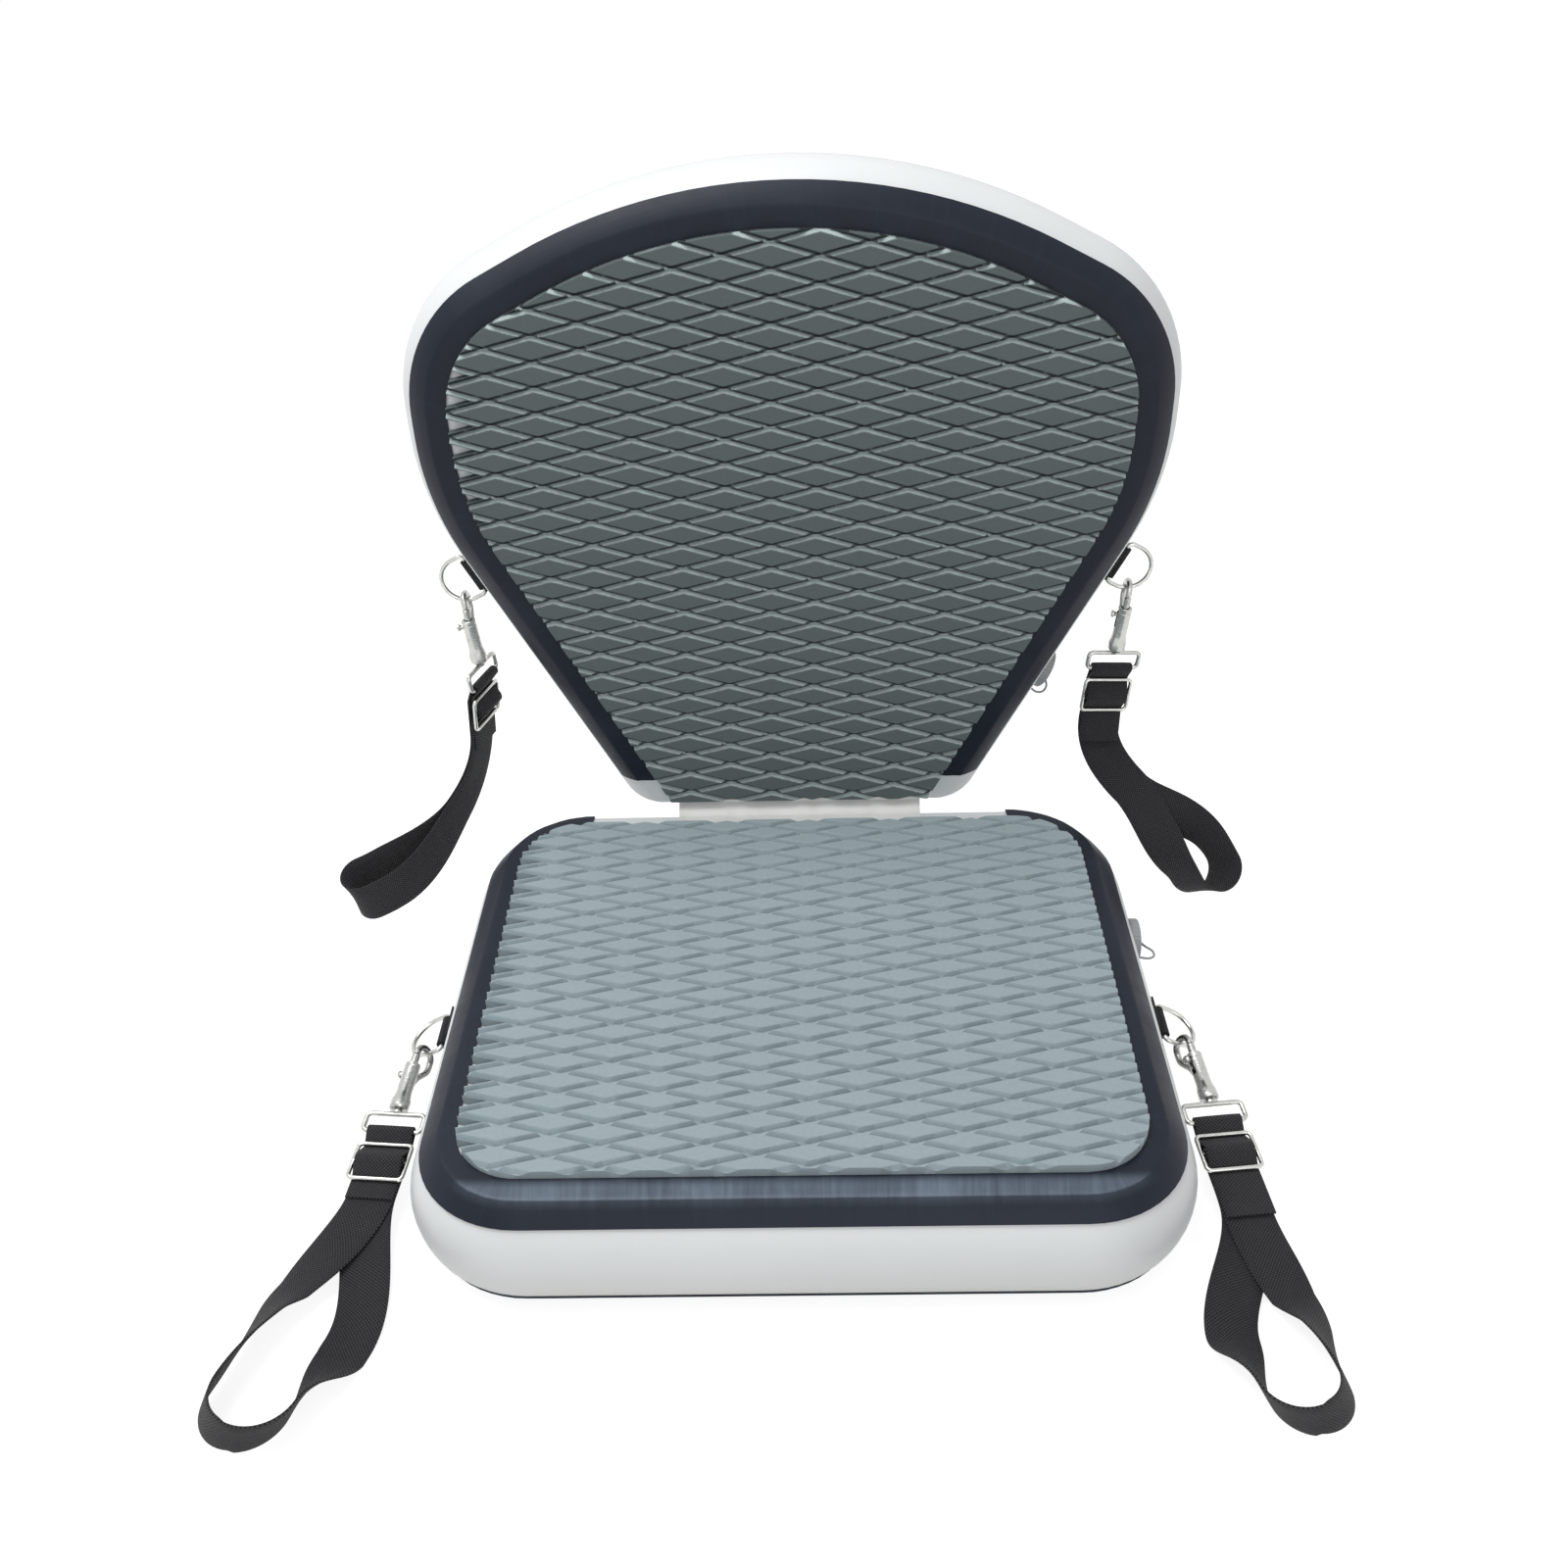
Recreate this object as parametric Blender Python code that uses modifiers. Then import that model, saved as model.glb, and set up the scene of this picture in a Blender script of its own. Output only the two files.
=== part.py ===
"""Inflatable kayak seat: two drop-stitch pads with grooved foam faces, a fabric hinge,
two screw valves and four webbing loops on snap hooks.

Metres, +Z up. The origin is the middle of the seat's underside, +X is the sitter's left hand
as seen from the front (the right of the picture) and +Y points to the backrest.
"""
import math

import bmesh
import bpy
from mathutils import Matrix, Vector

# Fits
GAP = 0.0003
AIR = 0.0006

# Seat chamber: its outline is the crease where the flat face meets the bulged wall
SEAT_WIDTH = 0.352
SEAT_DEPTH = 0.302
SEAT_THICKNESS = 0.066
SEAT_FRONT_RADIUS = 0.044
SEAT_REAR_RADIUS = 0.048

# Backrest chamber, laid flat: y runs from the hinge to the top
BACK_WIDTH = 0.390
BACK_HEIGHT = 0.357
BACK_THICKNESS = 0.060
BACK_FOOT_WIDTH = 0.180
BACK_TAPER = math.radians(27.4)
BACK_CROWN_SLOPE = math.radians(27.0)
BACK_CROWN_RADIUS = 0.296
BACK_SHOULDER_RADIUS = 0.070
BACK_HIP_RADIUS = 0.150
BACK_FOOT_RADIUS = 0.006
BACK_LEAN = math.radians(1.0)

# Walls bulge between the two faces, and less where the pads press on each other
WALL_BULGE = 0.018
HINGE_BULGE = 0.008
WALL_RINGS = 3
CORNER_STEPS = 7

# Foam pads with diamond blocks between two families of grooves
FOAM_THICKNESS = 0.0055
SEAT_FOAM_INSET = 0.0085
SEAT_FOAM_FRONT_INSET = 0.012
SEAT_FOAM_REAR_INSET = 0.012
BACK_FOAM_INSET = 0.011
BACK_FOAM_FOOT_INSET = 0.0035
DIAMOND_WIDTH = 0.050
DIAMOND_HEIGHT = 0.0138
GROOVE_WIDTH = 0.0037
GROOVE_DEPTH = 0.0026
GROOVE_STEP = 0.00025
SEAT_PATTERN = (0.0043, 0.0021, math.radians(-0.30))
BACK_PATTERN = (0.0165, 0.3341, math.radians(-1.48))

# Seam tape
TAPE_THICKNESS = 0.0008
TAPE_LAP = 0.012
TAPE_REACH = 0.34
BACK_TAPE_END = 0.016

# Fabric hinge
HINGE_STRIP_WIDTH = 0.150
HINGE_STRIP_THICKNESS = 0.0008
HINGE_FLANGE = 0.016
HINGE_GAP = 0.001

# Valves
VALVE_FLANGE_RADIUS = 0.0175
VALVE_FLANGE_THICKNESS = 0.0025
VALVE_BODY_RADIUS = 0.0105
VALVE_BODY_DEPTH = 0.012
VALVE_BORE_RADIUS = 0.0075
VALVE_RIM = 0.002
VALVE_FLOOR = 0.003
CAP_RADIUS = 0.0125
CAP_HEIGHT = 0.0055
CAP_GRIPS = 10
CAP_PLUG_DEPTH = 0.006
TETHER_RADIUS = 0.0007
SEAT_VALVE_Y = 0.066
BACK_VALVE_HEIGHT = 0.084

# Ring tabs and rings
TAB_WIDTH = 0.020
TAB_THICKNESS = 0.0012
TAB_REACH = 0.010
RING_WIRE = 0.0014
RING_RADIUS = 0.0135
RING_STRAIGHT = 0.007
RING_CORNER = 0.003
SEAT_RING_Y = -0.004
BACK_RING_HEIGHT = 0.155

# Snap hooks, measured up from the eye's lower bar
EYE_WIRE = 0.0014
EYE_INSIDE = 0.0286
EYE_HEIGHT = 0.0105
EYE_CORNER = 0.0026
STUD_RADIUS = 0.0018
STUD_HEAD_RADIUS = 0.0030
STUD_HEAD_HEIGHT = 0.0020
STUD_WALL = 0.003
SNAP_FOOT = 0.0130
SNAP_FOOT_RADIUS = 0.0052
BARREL_RADIUS = 0.0042
BARREL_BORE = 0.0027
BARREL_TOP = 0.0420
HOOK_WIRE = 0.0019
HOOK_RADIUS = 0.0056
HOOK_CENTRE = 0.0505
HOOK_TIP = 0.0015
BOLT_RADIUS = 0.0022
BOLT_LENGTH = 0.0150
BOLT_TRAVEL = 0.0060
KNOB_RADIUS = 0.0022
KNOB_REACH = 0.0078
KNOB_STEM = 0.0011
KNOB_SEAT = 0.0035

# Webbing and slider
WEB_WIDTH = 0.025
WEB_THICKNESS = 0.0014
SLIDER_WIRE = 0.0012
SLIDER_DROP = 0.0085
SLIDER_PITCH = 0.0105
SLIDER_CORNER = 0.0025
SLIDER_LEAD = 0.006
TAIL_LENGTH = 0.026
LOOP_REACH = 0.200

ROUND_STEPS = 12

MODEL = "kayak_seat"
STACK = WEB_THICKNESS + GAP
HINGE_Y = SEAT_DEPTH / 2 + HINGE_GAP
HINGE_Z = SEAT_THICKNESS + GAP + FOAM_THICKNESS
BACK_FACE = -(GAP + FOAM_THICKNESS)


# Collections and materials

def collection(name):
    """A collection linked to the scene."""
    found = bpy.data.collections.new(name)
    bpy.context.scene.collection.children.link(found)
    return found


def material(name, colour, roughness, metallic=0.0):
    """A Principled material."""
    made = bpy.data.materials.new(name)
    made.use_nodes = True
    shader = made.node_tree.nodes["Principled BSDF"]
    shader.inputs["Base Color"].default_value = (*colour, 1.0)
    shader.inputs["Roughness"].default_value = roughness
    shader.inputs["Metallic"].default_value = metallic
    made.diffuse_color = (*colour, 1.0)
    return made


for old in list(bpy.data.objects):
    bpy.data.objects.remove(old, do_unlink=True)
PIECES = collection(MODEL)
CUTTERS = collection("cutters")


# Objects

def place(mesh, name, finish, parent=None, smooth=True):
    """A mesh as a named piece of the model."""
    piece = bpy.data.objects.new(name, mesh)
    PIECES.objects.link(piece)
    mesh.materials.clear()
    mesh.materials.append(finish)
    if smooth:
        mesh.shade_smooth()
        mesh.set_sharp_from_angle(angle=math.radians(35))
    piece.parent = parent
    return piece


def frame(name, matrix, parent=None):
    """An empty that carries pieces."""
    empty = bpy.data.objects.new(name, None)
    empty.empty_display_size = 0.02
    PIECES.objects.link(empty)
    empty.parent = parent
    empty.matrix_local = matrix
    return empty


def from_bmesh(bm, name):
    """A new mesh from a bmesh, with its faces pointing out."""
    bmesh.ops.recalc_face_normals(bm, faces=bm.faces)
    mesh = bpy.data.meshes.new(name)
    bm.to_mesh(mesh)
    bm.free()
    return mesh


def evaluated_mesh(piece, name):
    """The mesh that an object's modifiers give, as a mesh of its own."""
    bpy.context.view_layer.update()
    seen = piece.evaluated_get(bpy.context.evaluated_depsgraph_get())
    mesh = bpy.data.meshes.new_from_object(seen)
    mesh.name = name
    return mesh


def cutter(mesh, name, parent=None):
    """A mesh that cuts or joins another and isn't a piece itself."""
    tool = bpy.data.objects.new(name, mesh)
    CUTTERS.objects.link(tool)
    tool.parent = parent
    tool.hide_render = True
    tool.display_type = "WIRE"
    return tool


def boolean(piece, tool, operation="DIFFERENCE"):
    """Cut a piece with a tool, or join the tool to it."""
    change = piece.modifiers.new(tool.name, "BOOLEAN")
    change.operation = operation
    change.object = tool
    change.solver = "EXACT"


# Outlines

def loop(corners, offsets, heights):
    """Points round a polygon with rounded corners, one list for each corner.

    corners holds (x, y, radius, steps) in turn, counter-clockwise. offsets and heights hold a
    value for each edge, the first edge being the one from the first corner to the second: how
    far the edge moves out, and its height. Heights blend round a corner.
    """
    count = len(corners)
    lines = []
    for i, (x, y, _, _) in enumerate(corners):
        nx, ny, _, _ = corners[(i + 1) % count]
        along = Vector((nx - x, ny - y)).normalized()
        out = Vector((along.y, -along.x))
        lines.append((Vector((x, y)) + out * offsets[i], along, out))
    arcs = []
    for i, (_, _, radius, steps) in enumerate(corners):
        p, a, a_out = lines[i - 1]
        q, b, b_out = lines[i]
        cross = a.x * b.y - a.y * b.x
        turn = math.asin(max(-1.0, min(1.0, cross)))
        gap = q - p
        meet = p + a * ((gap.x * b.y - gap.y * b.x) / cross)
        round_by = max(radius + (offsets[i - 1] + offsets[i]) / 2, 0.0005)
        reach = round_by * math.tan(turn / 2)
        centre = meet - a * reach - a_out * round_by
        start = math.atan2(a_out.y, a_out.x)
        arc = []
        for k in range(steps + 1):
            share = k / steps
            angle = start + turn * share
            height = heights[i - 1] * (1 - share) + heights[i] * share
            arc.append(Vector((centre.x + round_by * math.cos(angle),
                               centre.y + round_by * math.sin(angle), height)))
        arcs.append(arc)
    return arcs


def flat(arcs):
    """The points of a closed outline in one list."""
    return [point for arc in arcs for point in arc]


def open_path(arcs, trim):
    """The outline without its first edge, each end drawn back along its side by a length."""
    if trim == 0:
        return flat(arcs[1:] + arcs[:1])
    first = arcs[1][-1] + (arcs[2][0] - arcs[1][-1]).normalized() * trim
    last = arcs[0][0] + (arcs[-1][-1] - arcs[0][0]).normalized() * trim
    return [first] + flat(arcs[2:]) + [last]


def loft(rings, name, closed_rings=True, closed_stack=False):
    """A closed solid through rings of points, each with the same number of points."""
    bm = bmesh.new()
    rows = [[bm.verts.new(point) for point in ring] for ring in rings]
    spans = range(len(rows)) if closed_stack else range(len(rows) - 1)
    for k in spans:
        lower = rows[k]
        upper = rows[(k + 1) % len(rows)]
        last = len(lower) if closed_rings else len(lower) - 1
        for i in range(last):
            j = (i + 1) % len(lower)
            bm.faces.new((lower[i], lower[j], upper[j], upper[i]))
    if closed_rings and not closed_stack:
        bm.faces.new(rows[0])
        bm.faces.new(rows[-1])
    if closed_stack and not closed_rings:
        bm.faces.new([row[0] for row in rows])
        bm.faces.new([row[-1] for row in rows])
    return from_bmesh(bm, name)


# Pads

class Pad:
    """The outline, thickness and walls of one chamber, lying flat with its foam face up."""

    def __init__(self, corners, base, thickness):
        """Sizes of the chamber; the first edge of its outline is the hinge's."""
        self.corners = corners
        self.base = base
        self.half = thickness / 2
        self.bulges = [HINGE_BULGE] + [WALL_BULGE] * (len(corners) - 1)

    def radius(self, edge):
        """The radius of the wall's bulge at an edge."""
        bulge = self.bulges[edge]
        return (self.half ** 2 + bulge ** 2) / (2 * bulge)

    def lean(self, edge):
        """The angle of the wall's arc where it meets the face."""
        return math.asin(min(1.0, self.half / self.radius(edge)))

    def level(self, lift):
        """The height of the foam side's face, raised by a lift."""
        return self.base + 2 * self.half + lift

    def face_ring(self, insets, height):
        """A level ring, set in from the crease by a value for each edge."""
        return loop(self.corners, [-inset for inset in insets], [height] * len(insets))

    def wall_ring(self, share, lift=0.0, fixed_height=None):
        """A ring on the wall: share runs from -1 at the lower crease to 1 at the upper one."""
        offsets, heights = [], []
        for edge, bulge in enumerate(self.bulges):
            radius = self.radius(edge)
            angle = self.lean(edge) * share
            offsets.append((radius + lift) * math.cos(angle) - (radius - bulge))
            heights.append(self.base + self.half + (radius + lift) * math.sin(angle))
        if fixed_height is not None:
            heights = [fixed_height] * len(heights)
        return loop(self.corners, offsets, heights)

    def point(self, edge, along):
        """A point at the middle of a wall, by its place along the edge from the first corner."""
        x, y, _, _ = self.corners[edge]
        nx, ny, _, _ = self.corners[(edge + 1) % len(self.corners)]
        way = Vector((nx - x, ny - y, 0)).normalized()
        out = Vector((way.y, -way.x, 0))
        height = Vector((0, 0, self.base + self.half))
        return Vector((x, y, 0)) + way * along + out * self.bulges[edge] + height, way, out


def seat_pad():
    """The seat's outline: its rear edge is the hinge's."""
    half_x = SEAT_WIDTH / 2
    half_y = SEAT_DEPTH / 2
    corners = [(half_x, half_y, SEAT_REAR_RADIUS, CORNER_STEPS),
               (-half_x, half_y, SEAT_REAR_RADIUS, CORNER_STEPS),
               (-half_x, -half_y, SEAT_FRONT_RADIUS, CORNER_STEPS),
               (half_x, -half_y, SEAT_FRONT_RADIUS, CORNER_STEPS)]
    return Pad(corners, 0.0, SEAT_THICKNESS)


def fillets(radii, turns, side):
    """The radii of the two corners on one straight side, limited by that side's length."""
    reach = sum(radius * math.tan(turn / 2) for radius, turn in zip(radii, turns))
    share = min(1.0, (side - GAP) / reach)
    return [radius * share for radius in radii]


def back_pad():
    """The backrest's outline, from its narrow foot up to its crowned top."""
    half_x = BACK_WIDTH / 2
    foot = BACK_FOOT_WIDTH / 2
    foot_y = HINGE_GAP
    hip_y = foot_y + (half_x - foot) / math.tan(BACK_TAPER)
    crown_rise = BACK_CROWN_RADIUS * (1 / math.cos(BACK_CROWN_SLOPE) - 1)
    crown_y = foot_y + BACK_HEIGHT + crown_rise
    shoulder_y = crown_y - half_x * math.tan(BACK_CROWN_SLOPE)
    turns = (BACK_TAPER, math.pi / 2 - BACK_CROWN_SLOPE)
    hip, shoulder = fillets((BACK_HIP_RADIUS, BACK_SHOULDER_RADIUS), turns, shoulder_y - hip_y)
    corners = [(-foot, foot_y, BACK_FOOT_RADIUS, 2),
               (foot, foot_y, BACK_FOOT_RADIUS, 2),
               (half_x, hip_y, hip, 3),
               (half_x, shoulder_y, shoulder, CORNER_STEPS),
               (0.0, crown_y, BACK_CROWN_RADIUS, CORNER_STEPS),
               (-half_x, shoulder_y, shoulder, CORNER_STEPS),
               (-half_x, hip_y, hip, 3)]
    return Pad(corners, BACK_FACE - BACK_THICKNESS, BACK_THICKNESS)


def chamber(pad, name, finish, parent=None):
    """An inflated chamber: flat faces, bulged walls and a rebate for the tape on its far face."""
    sides = len(pad.corners)
    sunk = pad.base + GAP + TAPE_THICKNESS
    lap = [TAPE_LAP + GAP] * sides
    inner = [TAPE_LAP + 2 * GAP] * sides
    rings = [flat(pad.face_ring(inner, pad.base)), flat(pad.face_ring(lap, sunk)),
             flat(pad.wall_ring(-1, fixed_height=sunk))]
    for k in range(1 - WALL_RINGS, WALL_RINGS):
        rings.append(flat(pad.wall_ring(k / WALL_RINGS)))
    rings.append(flat(pad.wall_ring(1)))
    return place(loft(rings, name), name, finish, parent)


def tape(pad, name, finish, insets, side, trim, parent=None):
    """Seam tape folded over a crease: side is 1 on the foam's side and -1 on the far side."""
    turn = flat if trim is None else (lambda arcs: open_path(arcs, trim))
    face = pad.level(0.0) if side > 0 else pad.base + GAP + TAPE_THICKNESS
    stack = []
    for lift in (GAP, GAP + TAPE_THICKNESS):
        height = face + side * lift
        path = [turn(pad.face_ring(insets, height)),
                turn(pad.wall_ring(side, lift, height)),
                turn(pad.wall_ring(side * (1 - TAPE_REACH / 2), lift)),
                turn(pad.wall_ring(side * (1 - TAPE_REACH), lift))]
        stack.append(path)
    rings = stack[0] + stack[1][::-1]
    mesh = loft(rings, name, closed_rings=trim is None, closed_stack=True)
    return place(mesh, name, finish, parent)


def groove_family(name, centre, reach, angle, top, depth, parent):
    """Parallel V grooves across a pad, as one cutter."""
    slope = math.atan2(DIAMOND_HEIGHT, DIAMOND_WIDTH)
    pitch = DIAMOND_WIDTH * math.sin(slope)
    count = math.ceil(reach / pitch)
    bm = bmesh.new()
    turn = Matrix.Rotation(angle, 4, "Z")
    lying = Matrix.Rotation(math.pi / 2, 4, "Y")
    apex_down = Matrix.Rotation(-math.pi / 2, 4, "Z")
    tall = (depth + AIR) / 1.5
    wide = GROOVE_WIDTH * (1 + AIR / depth) / math.sqrt(3)
    shape = Matrix.Diagonal((wide, tall, 1, 1))
    for k in range(-count, count + 1):
        offset = Matrix.Translation((0, k * pitch, top - depth + tall))
        matrix = Matrix.Translation(centre) @ turn @ offset @ lying @ apex_down @ shape
        bmesh.ops.create_cone(bm, cap_ends=True, segments=3, radius1=1, radius2=1,
                              depth=2.4 * reach, matrix=matrix)
    return cutter(from_bmesh(bm, name), name, parent)


def foam(pad, name, finish, insets, hinge_side, pattern, parent=None):
    """A foam pad: a plate on the face, grooved into diamonds and rebated over the hinge strip.

    pattern is the place of one crossing of the grooves and how far they are turned.
    """
    low = pad.level(GAP)
    top = low + FOAM_THICKNESS
    rings = [flat(pad.face_ring(insets, low)), flat(pad.face_ring(insets, top))]
    piece = place(loft(rings, name), name, finish, parent, smooth=False)
    ys = [point.y for point in rings[0]]
    centre = Vector((pattern[0], pattern[1], 0))
    reach = max(abs(y - pattern[1]) for y in ys) + DIAMOND_WIDTH
    slope = math.atan2(DIAMOND_HEIGHT, DIAMOND_WIDTH)
    for sign, label, depth in ((1, "rising", GROOVE_DEPTH),
                               (-1, "falling", GROOVE_DEPTH + GROOVE_STEP)):
        grooves = groove_family(f"{name}_{label}_grooves", centre, reach,
                                sign * slope + pattern[2], top, depth, parent)
        boolean(piece, grooves)
    edge = min(ys) if hinge_side < 0 else max(ys)
    deep = HINGE_STRIP_THICKNESS + GAP
    long = HINGE_FLANGE + GAP
    matrix = Matrix.Translation((0, edge - hinge_side * long / 2, low + deep / 2 - AIR / 2))
    size = Matrix.Diagonal((HINGE_STRIP_WIDTH + 2 * AIR, long, deep + AIR, 1))
    ahead = Matrix.Translation((0, hinge_side * long / 2, 0)) @ matrix
    bm = bmesh.new()
    wider = Matrix.Diagonal((1, 2, 1, 1))
    bmesh.ops.create_cube(bm, size=1, matrix=ahead @ size @ wider)
    boolean(piece, cutter(from_bmesh(bm, name), f"{name}_rebate", parent))
    return piece


def upright_matrix():
    """The hinge's frame, in which the backrest lies flat with its foam side up."""
    turn = Matrix.Rotation(math.pi / 2 - BACK_LEAN, 4, "X")
    return Matrix.Translation((0, HINGE_Y, HINGE_Z)) @ turn


def hinge_strip(name, finish):
    """The fabric that joins the seat's rear margin to the backrest's foot."""
    mid = GAP + HINGE_STRIP_THICKNESS / 2
    seat_edge = SEAT_DEPTH / 2 - SEAT_FOAM_REAR_INSET - HINGE_FLANGE + GAP
    foot = BACK_FACE + mid
    upright = upright_matrix()
    route = [Vector((0, seat_edge, SEAT_THICKNESS + mid)),
             Vector((0, SEAT_DEPTH / 2 - HINGE_GAP, SEAT_THICKNESS + mid)),
             upright @ Vector((0, HINGE_GAP, foot)),
             upright @ Vector((0, BACK_FOAM_FOOT_INSET + HINGE_GAP + HINGE_FLANGE - GAP, foot))]
    bm = bmesh.new()
    rows = []
    for point in route:
        rows.append([bm.verts.new(point + Vector((side * HINGE_STRIP_WIDTH / 2, 0, 0)))
                     for side in (-1, 1)])
    for low, high in zip(rows, rows[1:]):
        bm.faces.new((low[0], low[1], high[1], high[0]))
    piece = place(from_bmesh(bm, name), name, finish, None, smooth=False)
    shell = piece.modifiers.new("thickness", "SOLIDIFY")
    shell.thickness = HINGE_STRIP_THICKNESS
    shell.offset = 0
    return piece


# Turned and wire parts

def turned(profile, name, steps=ROUND_STEPS):
    """A mesh turned round Z from a profile of (radius, height) that ends on the axis."""
    bm = bmesh.new()
    points = [bm.verts.new((radius, 0, height)) for radius, height in profile]
    for low, high in zip(points, points[1:]):
        bm.edges.new((low, high))
    if profile[0][0] > 0:
        bm.edges.new((points[-1], points[0]))
    bmesh.ops.spin(bm, geom=bm.verts[:] + bm.edges[:], angle=2 * math.pi, steps=steps,
                   axis=(0, 0, 1), cent=(0, 0, 0), use_merge=True)
    bmesh.ops.remove_doubles(bm, verts=bm.verts, dist=0.00001)
    return from_bmesh(bm, name)


def wire_mesh(points, radius, name, closed=False):
    """A round wire along points, as a mesh with closed ends."""
    curve = bpy.data.curves.new(name, "CURVE")
    curve.dimensions = "3D"
    curve.bevel_depth = radius
    curve.bevel_resolution = 1
    curve.use_fill_caps = not closed
    spline = curve.splines.new("POLY")
    spline.points.add(len(points) - 1)
    for target, point in zip(spline.points, points):
        target.co = (*point, 1)
    spline.use_cyclic_u = closed
    holder = bpy.data.objects.new(name, curve)
    CUTTERS.objects.link(holder)
    mesh = evaluated_mesh(holder, name)
    bpy.data.objects.remove(holder, do_unlink=True)
    bm = bmesh.new()
    bm.from_mesh(mesh)
    bmesh.ops.remove_doubles(bm, verts=bm.verts, dist=0.00001)
    bpy.data.meshes.remove(mesh)
    return from_bmesh(bm, name)


def arc_points(centre, radius, start, end, steps):
    """Points (u, v) along an arc, its angles in degrees."""
    found = []
    for k in range(steps + 1):
        angle = math.radians(start + (end - start) * k / steps)
        found.append((centre[0] + radius * math.cos(angle), centre[1] + radius * math.sin(angle)))
    return found


def rounded_frame(half_width, low, high, radius):
    """A rounded rectangle in the XZ plane, for wire frames."""
    corners = [((half_width - radius, high - radius), 0), ((-half_width + radius, high - radius), 90),
               ((-half_width + radius, low + radius), 180), ((half_width - radius, low + radius), 270)]
    found = []
    for centre, start in corners:
        found += [Vector((u, 0, v)) for u, v in arc_points(centre, radius, start, start + 90, 2)]
    return found


# Valves

def valve(pad, name, edge, along, chamber_piece, finishes, parent):
    """A screw valve let into a wall, with its cap and the cap's tether."""
    spot, way, out = pad.point(edge, along)
    sunk = VALVE_FLANGE_RADIUS ** 2 / (2 * pad.radius(edge))
    across = out.cross(way)
    turn = Matrix((way, across, out)).transposed().to_4x4()
    matrix = Matrix.Translation(spot - out * sunk) @ turn
    seat = frame(f"{name}_axis", matrix, parent)
    pocket = VALVE_FLANGE_RADIUS + GAP
    hole = VALVE_BODY_RADIUS + GAP
    proud = sunk + 2 * VALVE_FLANGE_THICKNESS
    tool = turned([(0, proud), (pocket, proud), (pocket, -VALVE_FLANGE_THICKNESS - GAP),
                   (hole, -VALVE_FLANGE_THICKNESS - GAP), (hole, -VALVE_BODY_DEPTH - GAP),
                   (0, -VALVE_BODY_DEPTH - GAP)], f"{name}_pocket")
    boolean(chamber_piece, cutter(tool, f"{name}_pocket", seat))
    floor = -VALVE_BODY_DEPTH + VALVE_FLOOR
    body = [(0, floor), (VALVE_BORE_RADIUS, floor), (VALVE_BORE_RADIUS, VALVE_RIM),
            (VALVE_BODY_RADIUS, VALVE_RIM), (VALVE_BODY_RADIUS + VALVE_RIM, 0),
            (VALVE_FLANGE_RADIUS, 0), (VALVE_FLANGE_RADIUS, -VALVE_FLANGE_THICKNESS),
            (VALVE_BODY_RADIUS, -VALVE_FLANGE_THICKNESS), (VALVE_BODY_RADIUS, -VALVE_BODY_DEPTH),
            (0, -VALVE_BODY_DEPTH)]
    place(turned(body, f"{name}_body"), f"{name}_body", finishes["valve"], seat)
    plug = VALVE_BORE_RADIUS - GAP
    rest = VALVE_RIM + GAP
    soft = CAP_RADIUS / 12
    lid = [(0, rest + CAP_HEIGHT), (CAP_RADIUS - soft, rest + CAP_HEIGHT),
           (CAP_RADIUS, rest + CAP_HEIGHT - soft), (CAP_RADIUS, rest), (plug, rest),
           (plug, rest - CAP_PLUG_DEPTH), (0, rest - CAP_PLUG_DEPTH)]
    cap = place(turned(lid, f"{name}_cap", 2 * CAP_GRIPS), f"{name}_cap", finishes["valve"], seat)
    grips = bmesh.new()
    for k in range(2):
        swing = Matrix.Rotation(math.pi * (k + 0.5), 4, "Z")
        shift = Matrix.Translation((CAP_RADIUS * 0.62, 0, rest + CAP_HEIGHT))
        size = Matrix.Diagonal((CAP_RADIUS * 0.5, 0.009, 0.004, 1))
        bmesh.ops.create_cube(grips, size=1, matrix=swing @ shift @ size)
    boolean(cap, cutter(from_bmesh(grips, f"{name}_grips"), f"{name}_grips", seat))
    reach = VALVE_FLANGE_RADIUS - 0.0022
    tall = rest + CAP_HEIGHT + GAP + TETHER_RADIUS
    route = [Vector((-reach, 0, GAP + TETHER_RADIUS)), Vector((-reach - 0.0005, 0, 0.006)),
             Vector((-reach - 0.0015, 0, 0.011)), Vector((-reach + 0.0005, 0, 0.0145)),
             Vector((-reach + 0.005, 0, 0.0145)), Vector((-0.006, 0, 0.011)),
             Vector((-0.002, 0, tall)), Vector((0.002, 0, tall))]
    place(wire_mesh(route, TETHER_RADIUS, f"{name}_tether"), f"{name}_tether",
          finishes["valve"], seat)


# Rings, snaps and straps

def axes(origin, x, z):
    """A frame matrix from an origin, its X direction and its Z direction."""
    z = z.normalized()
    x = (x - z * x.dot(z)).normalized()
    y = z.cross(x)
    matrix = Matrix((x, y, z)).transposed().to_4x4()
    matrix.translation = origin
    return matrix


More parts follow.
